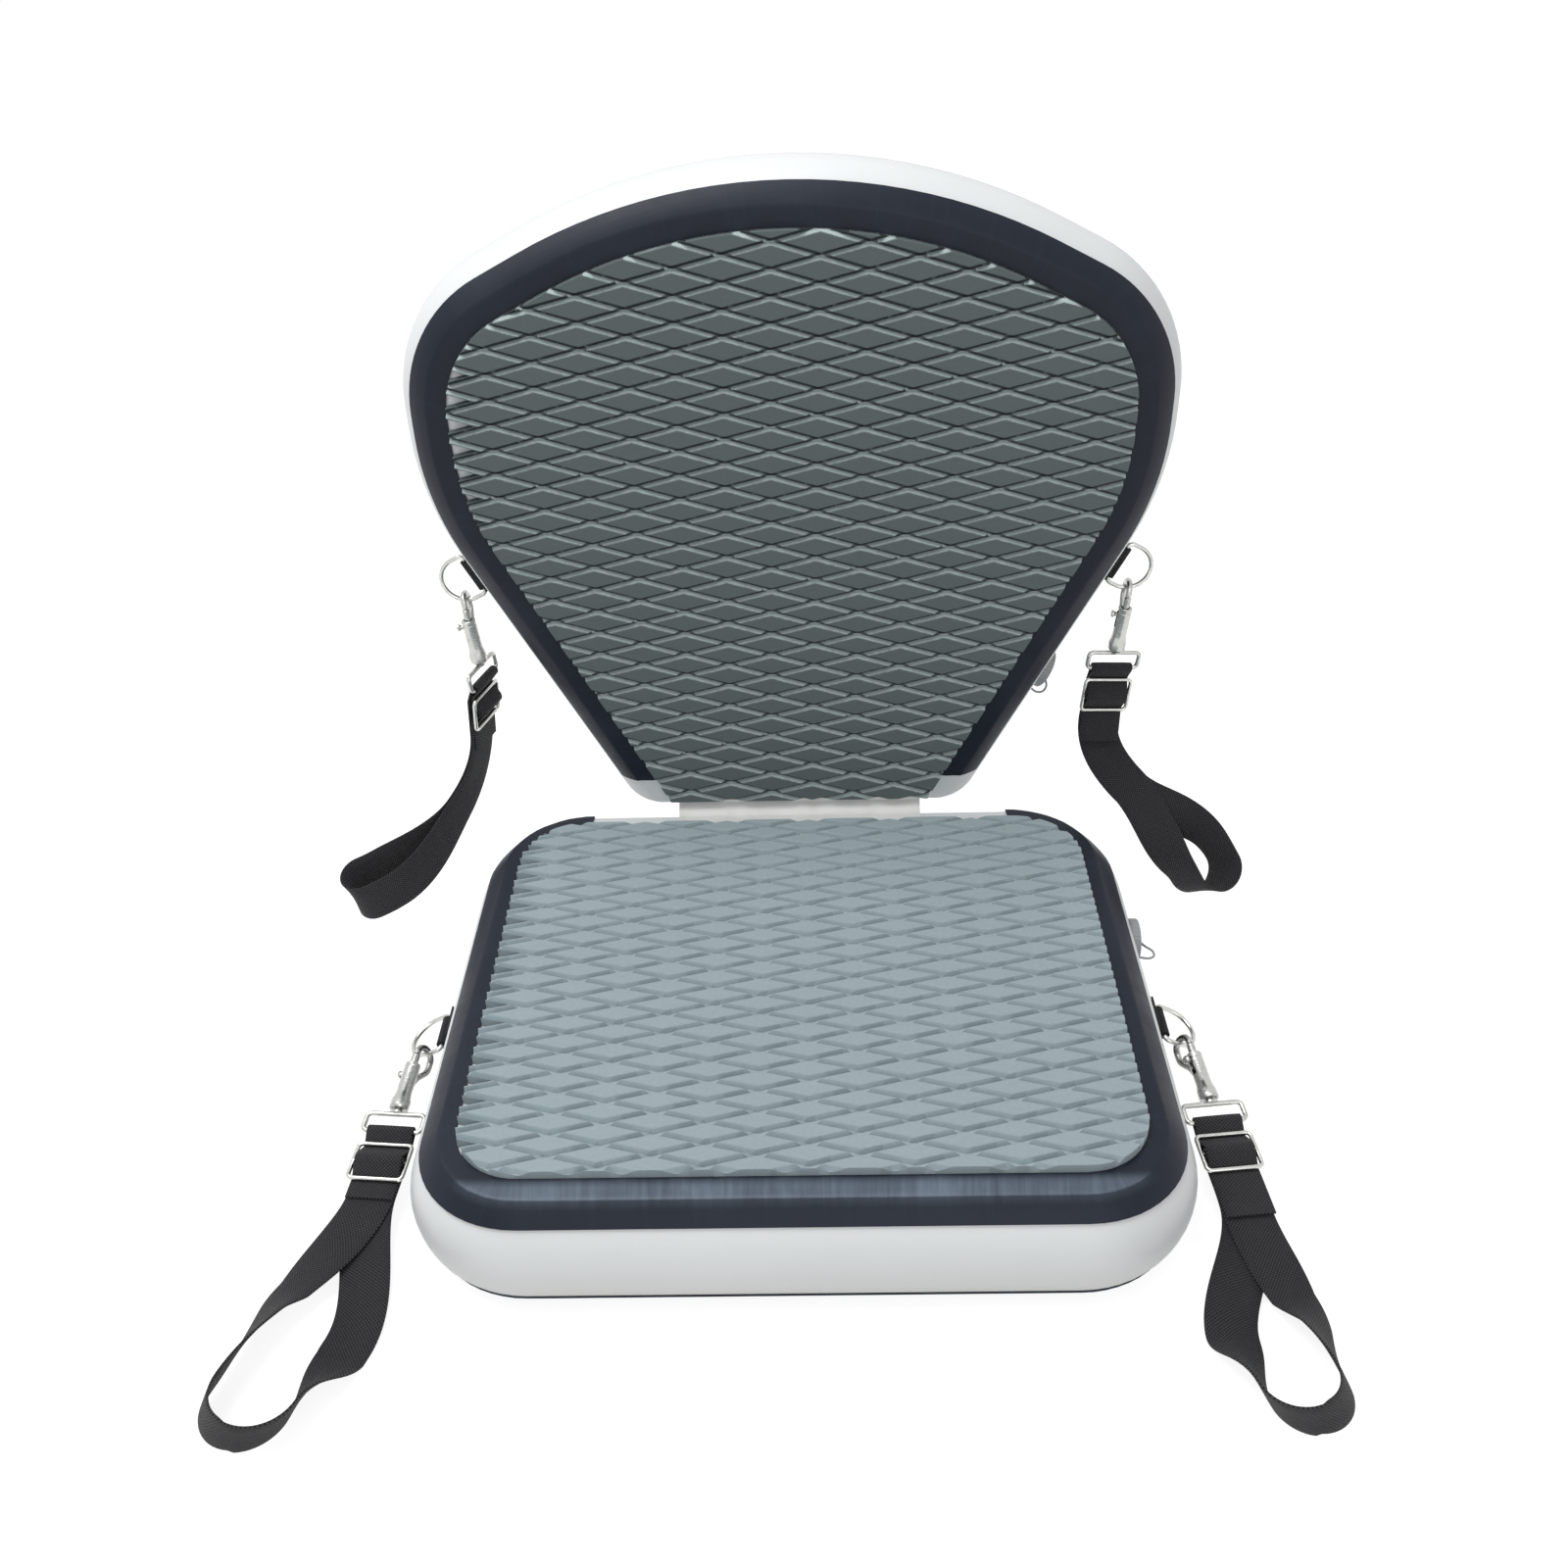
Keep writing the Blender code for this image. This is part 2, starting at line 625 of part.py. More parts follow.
def ring_tab(name, wall_radius, finish, parent):
    """The tab that holds a ring: a curved flange on the wall with a knuckle round the bar."""
    inner = wall_radius + GAP
    outer = inner + TAB_THICKNESS
    swing = math.degrees(TAB_REACH / wall_radius)
    profile = arc_points((0, 0), inner, -swing, swing, 4) + arc_points((0, 0), outer, swing,
                                                                      -swing, 4)
    rings = [[Vector((side * TAB_WIDTH / 2, v, u - wall_radius)) for u, v in profile]
             for side in (-1, 1)]
    piece = place(loft(rings, name), name, finish, parent, smooth=False)
    lying = Matrix.Translation((0, 0, ring_stand())) @ Matrix.Rotation(math.pi / 2, 4, "Y")
    for radius, length, operation in (
            (RING_WIRE + GAP + TAB_THICKNESS, TAB_WIDTH, "UNION"),
            (RING_WIRE + GAP, 2 * TAB_WIDTH, "DIFFERENCE")):
        bm = bmesh.new()
        bmesh.ops.create_cone(bm, cap_ends=True, segments=ROUND_STEPS, radius1=radius,
                              radius2=radius, depth=length, matrix=lying)
        label = f"{name}_{operation.lower()}"
        boolean(piece, cutter(from_bmesh(bm, label), label, parent), operation)
    return piece


def ring_stand():
    """How far a ring's bar stands off the wall."""
    return GAP + TAB_THICKNESS + RING_WIRE + GAP + TAB_THICKNESS * 0.5


def d_ring(name, finish, parent):
    """A D ring: its bar lies along X and its bow hangs along -Z."""
    bow = arc_points((0, -RING_STRAIGHT), RING_RADIUS, 180, 360, 9)
    side = RING_RADIUS - RING_CORNER
    bar = (arc_points((side, -RING_CORNER), RING_CORNER, 0, 90, 2)
           + arc_points((-side, -RING_CORNER), RING_CORNER, 90, 180, 2))
    points = [Vector((u, 0, v)) for u, v in bow + bar]
    return place(wire_mesh(points, RING_WIRE, name, closed=True), name, finish, parent)


def snap_contact():
    """Where the ring's wire lies in the hook, in the snap's frame."""
    return Vector((-HOOK_RADIUS, 0, HOOK_CENTRE + HOOK_RADIUS - HOOK_WIRE - RING_WIRE - GAP))


def snap_body(name, finish, parent):
    """A snap hook's body: a turned foot and barrel, with the thumb slot and the hook."""
    cavity_low = SNAP_FOOT + STUD_WALL
    cavity_high = cavity_low + STUD_HEAD_HEIGHT + 3 * GAP
    floor = cavity_high + 0.0025
    profile = [(0, floor), (BARREL_BORE, floor), (BARREL_BORE, BARREL_TOP),
               (BARREL_RADIUS, BARREL_TOP), (BARREL_RADIUS, floor + 0.001),
               (SNAP_FOOT_RADIUS, cavity_high), (SNAP_FOOT_RADIUS, SNAP_FOOT + 0.001),
               (SNAP_FOOT_RADIUS - 0.0008, SNAP_FOOT), (STUD_RADIUS + GAP, SNAP_FOOT),
               (STUD_RADIUS + GAP, cavity_low), (STUD_HEAD_RADIUS + GAP, cavity_low),
               (STUD_HEAD_RADIUS + GAP, cavity_high), (0, cavity_high)]
    piece = place(turned(profile, name), name, finish, parent)
    arm = [(-BARREL_RADIUS * 0.83, BARREL_TOP - 0.010), (-BARREL_RADIUS * 1.35, BARREL_TOP - 0.005),
           (-2 * HOOK_RADIUS + 0.0005, BARREL_TOP + 0.002)]
    curl = arc_points((-HOOK_RADIUS, HOOK_CENTRE), HOOK_RADIUS, 180, 0, 6)
    tip = [(0, HOOK_CENTRE - HOOK_TIP)]
    points = [Vector((u, 0, v)) for u, v in arm + curl + tip]
    hook = cutter(wire_mesh(points, HOOK_WIRE, f"{name}_hook"), f"{name}_hook", parent)
    boolean(piece, hook, "UNION")
    clear = BARREL_BORE - AIR / 10
    bore = turned([(0, BARREL_TOP + AIR), (clear, BARREL_TOP + AIR), (clear, floor + AIR),
                   (0, floor + AIR)], f"{name}_bore")
    boolean(piece, cutter(bore, f"{name}_bore", parent))
    slot_low = knob_height() - BOLT_TRAVEL - KNOB_RADIUS - GAP
    slot_high = knob_height() + KNOB_RADIUS + GAP
    bm = bmesh.new()
    size = Matrix.Diagonal((2 * KNOB_STEM + 2 * GAP, 2 * BARREL_RADIUS, slot_high - slot_low, 1))
    shift = Matrix.Translation((0, -BARREL_RADIUS, (slot_low + slot_high) / 2))
    bmesh.ops.create_cube(bm, size=1, matrix=shift @ size)
    boolean(piece, cutter(from_bmesh(bm, f"{name}_slot"), f"{name}_slot", parent))
    return piece


def bolt_top():
    """The closed bolt's tip, just under the hook's."""
    return HOOK_CENTRE - HOOK_TIP - GAP


def knob_height():
    """The middle of the thumb knob on the closed bolt."""
    return bolt_top() - BOLT_LENGTH + KNOB_SEAT


def snap_bolt(name, finish, parent):
    """The sliding bolt with its thumb knob."""
    top = bolt_top()
    profile = [(0, top), (BOLT_RADIUS - 0.0005, top), (BOLT_RADIUS, top - 0.0005),
               (BOLT_RADIUS, top - BOLT_LENGTH), (0, top - BOLT_LENGTH)]
    piece = place(turned(profile, name), name, finish, parent)
    lying = Matrix.Translation((0, 0, knob_height())) @ Matrix.Rotation(math.pi / 2, 4, "X")
    stem = turned([(0, KNOB_REACH), (KNOB_RADIUS, KNOB_REACH), (KNOB_RADIUS, KNOB_REACH - 0.0018),
                   (KNOB_STEM, BARREL_RADIUS + 2 * GAP), (KNOB_STEM, 0), (0, 0)],
                  f"{name}_knob", 8)
    stem.transform(lying)
    boolean(piece, cutter(stem, f"{name}_knob", parent), "UNION")
    return piece


def swivel_eye(name, finish, parent):
    """The eye that turns in the snap's foot: a rounded wire frame on a headed stud."""
    half = EYE_INSIDE / 2 + EYE_WIRE
    points = rounded_frame(half, 0.0, EYE_HEIGHT, EYE_CORNER)
    piece = place(wire_mesh(points, EYE_WIRE, name, closed=True), name, finish, parent)
    head = SNAP_FOOT + STUD_WALL + GAP
    profile = [(0, head + STUD_HEAD_HEIGHT), (STUD_HEAD_RADIUS, head + STUD_HEAD_HEIGHT),
               (STUD_HEAD_RADIUS, head), (STUD_RADIUS, head), (STUD_RADIUS, EYE_HEIGHT),
               (0, EYE_HEIGHT)]
    stud = cutter(turned(profile, f"{name}_stud", 8), f"{name}_stud", parent)
    boolean(piece, stud, "UNION")
    return piece


def slider(name, finish, parent):
    """The three-bar slider that the webbing is threaded through."""
    half = WEB_WIDTH / 2 + AIR + SLIDER_WIRE
    top = -SLIDER_DROP
    points = rounded_frame(half, top - 2 * SLIDER_PITCH, top, SLIDER_CORNER)
    piece = place(wire_mesh(points, SLIDER_WIRE, name, closed=True), name, finish, parent)
    bar = [Vector((side * half, 0, top - SLIDER_PITCH)) for side in (-1, 1)]
    middle = cutter(wire_mesh(bar, SLIDER_WIRE, f"{name}_bar"), f"{name}_bar", parent)
    boolean(piece, middle, "UNION")
    return piece


def belt(circles, most=40.0):
    """Points (y, z) of a belt run over circles in turn.

    Each circle is (y, z, radius): a positive radius is passed counter-clockwise, a negative
    one clockwise, and nought is a plain point of the route.
    """
    ways = []
    for (y, z, radius), (ny, nz, next_radius) in zip(circles, circles[1:]):
        apart = math.hypot(ny - y, nz - z)
        ways.append(math.atan2(nz - z, ny - y) - math.asin((next_radius - radius) / apart))
    found = []
    for k, (y, z, radius) in enumerate(circles):
        before = ways[max(k - 1, 0)]
        after = ways[min(k, len(ways) - 1)]
        if radius == 0:
            found.append((y, z))
            continue
        turn = (after - before) % (2 * math.pi)
        if radius < 0:
            turn -= 2 * math.pi
        if abs(turn) > 1.9 * math.pi:
            turn = 0
        steps = max(1, math.ceil(abs(math.degrees(turn)) / most))
        for step in range(steps + 1):
            way = before + turn * step / steps
            found.append((y + math.sin(way) * radius, z - math.cos(way) * radius))
    return found


def smooth_step(share):
    """A rise from 0 to 1 with level ends."""
    share = max(0.0, min(1.0, share))
    return share * share * (3 - 2 * share)


def across_path(points, widths):
    """The width directions, each turned square to the path at its point."""
    found = []
    for k, width in enumerate(widths):
        along = (points[min(k + 1, len(points) - 1)] - points[max(k - 1, 0)]).normalized()
        found.append((width - along * width.dot(along)).normalized())
    return found


def loop_route(start, end, lie):
    """Centre points and width directions of the free loop, from its front strand round to its
    rear one.

    start is the strap's frame at the slider's foot. The spine bends from there to the end. The
    two strands part from it after the split, sideways for a fan of a right angle and face to
    face for a fan of nought, and roll towards their edges once they have parted. No point goes
    through the floor.
    """
    origin = start.translation
    depth = start.col[1].xyz.normalized()
    way = -start.col[2].xyz.normalized()
    span = (end - origin).length * 0.38
    handles = (origin, origin + way * span, end - lie["end_way"].normalized() * span, end)
    side, radius, split = lie["side"], lie["radius"] * WEB_WIDTH, lie["split"]
    apart = radius * math.sin(lie["fan"])
    bowed = radius * math.cos(lie["fan"])
    front, rear = [], []
    steps = 12
    for k in range(steps + 1):
        t = k / steps
        weights = ((1 - t) ** 3, 3 * t * (1 - t) ** 2, 3 * t * t * (1 - t), t ** 3)
        slopes = (-3 * (1 - t) ** 2, 3 * (1 - t) ** 2 - 6 * t * (1 - t),
                  6 * t * (1 - t) - 3 * t * t, 3 * t * t)
        point = sum((h * w for h, w in zip(handles, weights)), Vector())
        ahead = sum((h * w for h, w in zip(handles, slopes)), Vector()).normalized()
        depth = (depth - ahead * depth.dot(ahead)).normalized()
        across = ahead.cross(depth)
        grown = smooth_step((t - split) / (lie["full"] - split))
        shift = across * (side * apart * grown)
        shift -= depth * (STACK / 2 + max(bowed - STACK / 2, 0) * grown)
        for strand, sign, begin in ((front, 1, lie["lead"]), (rear, -1, lie["lag"])):
            roll = lie["roll"] * smooth_step((t - begin) / (1 - begin))
            width = across * math.cos(roll) + depth * (side * math.sin(roll))
            strand.append((point + shift * sign, width))
    bend = []
    for k in range(1, 8):
        angle = math.pi * k / 8
        spot = point + shift * math.cos(angle) + ahead * (shift.length * math.sin(angle))
        bend.append((spot, width))
    route = front + bend + rear[::-1]
    points = [spot for spot, _ in route]
    widths = across_path(points, [across for _, across in route])
    settled = []
    for k, (spot, across) in enumerate(zip(points, widths)):
        upper = STACK if k < len(front) + len(bend) / 2 and start.col[1].z < -0.5 else 0
        low = abs(across.z) * WEB_WIDTH / 2 + WEB_THICKNESS / 2 + GAP + upper
        settled.append((Vector((spot.x, spot.y, max(spot.z, low))), across))
    return settled


def webbing(name, finish, matrix, end, lie):
    """One strap: sewn round the slider's middle bar, out into the loop, back over the eye and
    threaded through the slider to its free tail."""
    half = WEB_THICKNESS / 2
    top, middle, low = (-SLIDER_DROP - k * SLIDER_PITCH for k in range(3))
    wrap = SLIDER_WIRE + GAP + half
    over = wrap + STACK
    leave = low - SLIDER_LEAD
    sewn = belt([(half, middle - wrap, 0), (0, middle, -wrap), (over, low + wrap, 0),
                 (over, leave, 0)])[1:]
    behind = over + STACK
    threaded = belt([(behind, leave, 0), (behind, top - wrap, 0),
                     (0, 0, EYE_WIRE + GAP + half), (0, top, -wrap), (0, middle, over),
                     (0, low, -wrap), (wrap - lie["lift"] * WEB_WIDTH, low - lie["tail"], 0)])
    start = matrix @ Matrix.Translation((0, (over + behind) / 2, leave))
    middle_run = loop_route(start, end, lie)[1:-1]
    width = matrix.col[0].xyz
    stations = [(matrix @ Vector((0, y, z)), width) for y, z in sewn]
    stations += middle_run
    stations += [(matrix @ Vector((0, y, z)), width) for y, z in threaded]
    bm = bmesh.new()
    rows = []
    for point, across in stations:
        rows.append([bm.verts.new(point + across * (side * WEB_WIDTH / 2)) for side in (-1, 1)])
    for near, far in zip(rows, rows[1:]):
        bm.faces.new((near[0], near[1], far[1], far[0]))
    mesh = bpy.data.meshes.new(name)
    bm.to_mesh(mesh)
    bm.free()
    piece = place(mesh, name, finish)
    shell = piece.modifiers.new("thickness", "SOLIDIFY")
    shell.thickness = WEB_THICKNESS
    shell.offset = 0
    return piece


def strap(name, pad, edge, along, drop, where, finishes, pad_matrix):
    """A tab, ring, snap hook, slider and webbing loop on one wall of a pad.

    drop is the ring's swing below the wall's outward direction, and where holds the rest of
    the lie: the ring's point that carries the hook, the snap's and the strap's directions, the
    loop's end as seen from the tab, in reaches, and the loop's radius and how far its strands
    push the tail's end off, in webbing widths.
    """
    spot, way, out = pad.point(edge, along)
    level = pad_matrix.to_3x3()
    spot = pad_matrix @ spot
    way = level @ way
    out = level @ out
    if way.z + way.y < 0:
        way = -way
    tab = frame(f"{name}_wall", axes(spot, way, out))
    ring_tab(f"{name}_ring_tab", pad.radius(edge), finishes["webbing"], tab)
    bar = spot + out * ring_stand()
    down = Vector((0, 0, -1))
    fall = (down - way * down.dot(way) - out * down.dot(out)).normalized()
    hang = out * math.cos(drop) + fall * math.sin(drop)
    ring_matrix = axes(bar, way, -hang)
    ring = frame(f"{name}_ring_axis", ring_matrix)
    d_ring(f"{name}_d_ring", finishes["wire"], ring)
    place_on_bow = where["bow"]
    bow = Vector((RING_RADIUS * math.cos(place_on_bow), 0,
                  -RING_STRAIGHT + RING_RADIUS * math.sin(place_on_bow)))
    held = ring_matrix @ bow
    tangent = ring_matrix.to_3x3() @ Vector((-math.sin(place_on_bow), 0,
                                             math.cos(place_on_bow)))
    up = where["snap_way"].normalized()
    across = tangent.cross(up) * where.get("face", 1)
    snap_matrix = axes(Vector(), across, up)
    snap_matrix.translation = held - snap_matrix.to_3x3() @ snap_contact()
    snap = frame(f"{name}_snap_axis", snap_matrix)
    snap_body(f"{name}_snap_body", finishes["snap"], snap)
    snap_bolt(f"{name}_snap_bolt", finishes["snap"], snap)
    eye_bar = snap_matrix.translation
    eye_matrix = axes(eye_bar, where["width"], up)
    eye = frame(f"{name}_eye_axis", eye_matrix)
    swivel_eye(f"{name}_swivel_eye", finishes["snap"], eye)
    width = eye_matrix.col[0].xyz
    lie = where["strap_way"].normalized()
    strap_matrix = axes(eye_bar, width, lie - width * lie.dot(width))
    run = frame(f"{name}_strap_axis", strap_matrix)
    slider(f"{name}_slider", finishes["wire"], run)
    end = spot + where["end"] * LOOP_REACH
    webbing(f"{name}_webbing", finishes["webbing"], strap_matrix, end, where)


# Assembly

def build():
    """Make every piece."""
    finishes = {
        "pvc": material("white_pvc", (0.86, 0.87, 0.88), 0.42),
        "tape": material("navy_tape", (0.035, 0.045, 0.068), 0.5),
        "seat_foam": material("pale_grey_foam", (0.36, 0.40, 0.41), 0.85),
        "back_foam": material("grey_foam", (0.16, 0.175, 0.17), 0.85),
        "webbing": material("black_webbing", (0.012, 0.012, 0.014), 0.8),
        "wire": material("nickel_wire", (0.55, 0.55, 0.53), 0.3, 1.0),
        "snap": material("nickel_casting", (0.5, 0.5, 0.48), 0.35, 1.0),
        "valve": material("grey_valve", (0.33, 0.34, 0.35), 0.5),
    }
    seat = seat_pad()
    back = back_pad()
    back_matrix = upright_matrix()
    hinge = frame("back_hinge", back_matrix)

    seat_shell = chamber(seat, "seat_chamber", finishes["pvc"])
    back_shell = chamber(back, "back_chamber", finishes["pvc"], hinge)
    seat_insets = [SEAT_FOAM_REAR_INSET, SEAT_FOAM_INSET, SEAT_FOAM_FRONT_INSET, SEAT_FOAM_INSET]
    back_insets = [BACK_FOAM_FOOT_INSET] + [BACK_FOAM_INSET] * 6
    tape(seat, "seat_top_tape", finishes["tape"], [i - GAP for i in seat_insets], 1, 0.0)
    tape(back, "back_front_tape", finishes["tape"], [i - GAP for i in back_insets], 1,
         BACK_TAPE_END, hinge)
    tape(seat, "seat_bottom_tape", finishes["tape"], [TAPE_LAP] * 4, -1, None)
    tape(back, "back_rear_tape", finishes["tape"], [TAPE_LAP] * 7, -1, None, hinge)
    foam(seat, "seat_foam_pad", finishes["seat_foam"], seat_insets, 1, SEAT_PATTERN)
    foam(back, "back_foam_pad", finishes["back_foam"], back_insets, -1, BACK_PATTERN, hinge)
    hinge_strip("hinge_strip", finishes["pvc"])
    valve(seat, "seat_valve", 3, SEAT_DEPTH / 2 + SEAT_VALVE_Y, seat_shell, finishes, None)
    valve(back, "back_valve", 1, BACK_VALVE_HEIGHT / math.cos(BACK_TAPER), back_shell,
          finishes, hinge)

    ring_along = BACK_RING_HEIGHT / math.cos(BACK_TAPER)
    side_run = (BACK_WIDTH - BACK_FOOT_WIDTH) / 2 / math.sin(BACK_TAPER)
    strap("back_right", back, 1, ring_along, 0.0, {
        "bow": math.radians(-148), "snap_way": Vector((0.10, -0.03, 1.0)),
        "width": Vector((1, 0.12, 0)), "strap_way": Vector((-0.12, 0.02, 1.0)),
        "end": Vector((0.331, -0.283, -0.934)), "end_way": Vector((0.42, -0.20, -0.72)),
        "side": -1, "fan": math.radians(90), "radius": 0.54, "split": 0.45, "full": 0.9,
        "roll": math.radians(58), "lead": 0.6, "lag": 0.55, "tail": TAIL_LENGTH * 0.8,
        "lift": 0.2,
    }, finishes, back_matrix)
    strap("back_left", back, 6, side_run - ring_along, 0.0, {
        "bow": math.radians(-148), "snap_way": Vector((-0.10, 0.0, 1.0)),
        "width": Vector((0.35, 1, 0)), "strap_way": Vector((0.10, 0.0, 1.0)),
        "end": Vector((-0.418, -0.327, -0.924)), "end_way": Vector((-0.8, -0.2, -0.25)),
        "side": -1, "fan": math.radians(8), "radius": 0.42, "split": 0.45, "full": 0.9,
        "roll": math.radians(38), "lead": 0.05, "lag": 0.05, "tail": TAIL_LENGTH * 0.7,
        "lift": 0.0, "face": -1,
    }, finishes, back_matrix)
    strap("seat_right", seat, 3, SEAT_DEPTH / 2 + SEAT_RING_Y, math.radians(25), {
        "bow": math.radians(-165), "snap_way": Vector((-0.10, 0.98, 0.17)),
        "width": Vector((1, 0.12, 0)), "strap_way": Vector((-0.12, 1, 0.10)),
        "end": Vector((0.14, -1.05, -0.175)), "end_way": Vector((0.22, -1, 0)),
        "side": 1, "fan": math.radians(90), "radius": 0.74, "split": 0.10, "full": 0.75,
        "roll": math.radians(65), "lead": 0.35, "lag": 0.7, "tail": TAIL_LENGTH,
        "lift": 0.0,
    }, finishes, Matrix.Identity(4))
    strap("seat_left", seat, 1, SEAT_DEPTH / 2 - SEAT_RING_Y, math.radians(25), {
        "bow": math.radians(-165), "snap_way": Vector((0.10, 0.98, 0.17)),
        "width": Vector((1, -0.22, 0)), "strap_way": Vector((0.22, 1, 0.10)),
        "end": Vector((-0.27, -1.06, -0.175)), "end_way": Vector((-0.33, -1, 0)),
        "side": -1, "fan": math.radians(90), "radius": 0.82, "split": 0.0, "full": 0.62,
        "roll": math.radians(65), "lead": 0.12, "lag": 0.68, "tail": TAIL_LENGTH * 0.4,
        "lift": 0.0, "face": -1,
    }, finishes, Matrix.Identity(4))


build()
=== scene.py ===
"""The looks of an inflatable kayak seat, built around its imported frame.

Two drop-stitch pads with diamond-grooved foam, seam tape, screw valves, a fabric hinge and
four webbing loops on snap hooks. Metres, +Z up, +Y towards the backrest.
"""

from __future__ import annotations

import logging
import math
from dataclasses import dataclass, field
from enum import Enum
from typing import Callable, Iterable, Sequence

import bmesh
import bpy
from mathutils import Matrix, Vector, noise


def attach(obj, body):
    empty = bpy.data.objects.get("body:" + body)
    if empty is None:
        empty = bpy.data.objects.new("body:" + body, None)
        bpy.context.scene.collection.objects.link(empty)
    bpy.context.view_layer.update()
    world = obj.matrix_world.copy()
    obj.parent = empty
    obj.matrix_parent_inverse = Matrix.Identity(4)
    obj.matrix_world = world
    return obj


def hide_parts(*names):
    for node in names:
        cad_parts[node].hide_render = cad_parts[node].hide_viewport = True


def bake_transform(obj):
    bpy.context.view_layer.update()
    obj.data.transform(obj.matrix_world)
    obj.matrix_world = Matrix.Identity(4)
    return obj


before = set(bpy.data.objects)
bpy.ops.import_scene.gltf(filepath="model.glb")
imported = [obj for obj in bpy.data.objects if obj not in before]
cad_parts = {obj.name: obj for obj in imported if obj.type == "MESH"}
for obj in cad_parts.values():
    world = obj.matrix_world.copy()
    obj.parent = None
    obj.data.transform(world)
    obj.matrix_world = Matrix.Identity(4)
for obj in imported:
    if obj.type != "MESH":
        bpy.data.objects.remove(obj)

log = logging.getLogger("kayak_seat")

GAP = 0.0003
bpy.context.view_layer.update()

SEAT_WIDTH, SEAT_DEPTH, SEAT_THICKNESS = 0.352, 0.302, 0.066
BACK_HALF, BACK_FOOT_HALF, BACK_TAPER = 0.195, 0.090, math.radians(27.4)
FOAM_THICKNESS = 0.0055
HINGE_GAP = 0.001
CELL_WIDTH, CELL_HEIGHT = 0.050, 0.0138

Ring = list[Vector]
Section = tuple[Vector, Vector]


class Edge(Enum):
    """The two edges of a pad that carry seam tape."""

    FOAM_SIDE = 1
    FAR_SIDE = -1


# Shader maths


@dataclass(frozen=True)
class Value:
    """A number socket that takes part in Python expressions."""

    nodes: "Nodes"
    socket: bpy.types.NodeSocket

    def math(self, operation: str, *others: "Value | float", swap: bool = False) -> "Value":
        """A Math node on this value.

        Args:
            operation: the node's operation.
            others: the further operands.
            swap: whether this value is the second operand.

        Returns:
            The node's result.
        """
        terms = [self, *others]
        if swap:
            terms.reverse()
        node = self.nodes.node("ShaderNodeMath", {"operation": operation})
        for slot, term in zip(node.inputs, terms):
            self.nodes.feed(slot, term)
        return Value(self.nodes, node.outputs[0])

    def __add__(self, other: "Value | float") -> "Value":
        """The sum."""
        return self.math("ADD", other)

    def __radd__(self, other: float) -> "Value":
        """The sum, with this value second."""
        return self.math("ADD", other)

    def __sub__(self, other: "Value | float") -> "Value":
        """The difference."""
        return self.math("SUBTRACT", other)

    def __rsub__(self, other: float) -> "Value":
        """The difference, with this value second."""
        return self.math("SUBTRACT", other, swap=True)

    def __mul__(self, other: "Value | float") -> "Value":
        """The product."""
        return self.math("MULTIPLY", other)

    def __rmul__(self, other: float) -> "Value":
        """The product, with this value second."""
        return self.math("MULTIPLY", other)

    def __truediv__(self, other: "Value | float") -> "Value":
        """The quotient."""
        return self.math("DIVIDE", other)

    def __abs__(self) -> "Value":
        """The size without its sign."""
        return self.math("ABSOLUTE")

    def most(self, other: "Value | float") -> "Value":
        """The larger of two values."""
        return self.math("MAXIMUM", other)

    def sine(self) -> "Value":
        """The sine of an angle in radians."""
        return self.math("SINE")

    def part(self) -> "Value":
        """What is left above the whole number."""
        return self.math("FRACT")

    def ramp(self, low: float, high: float) -> "Value":
        """A smooth rise from 0 at low to 1 at high."""
        node = self.nodes.node("ShaderNodeMapRange", {"interpolation_type": "SMOOTHSTEP"},
                               {"Value": self, "From Min": low, "From Max": high})
        return Value(self.nodes, node.outputs["Result"])


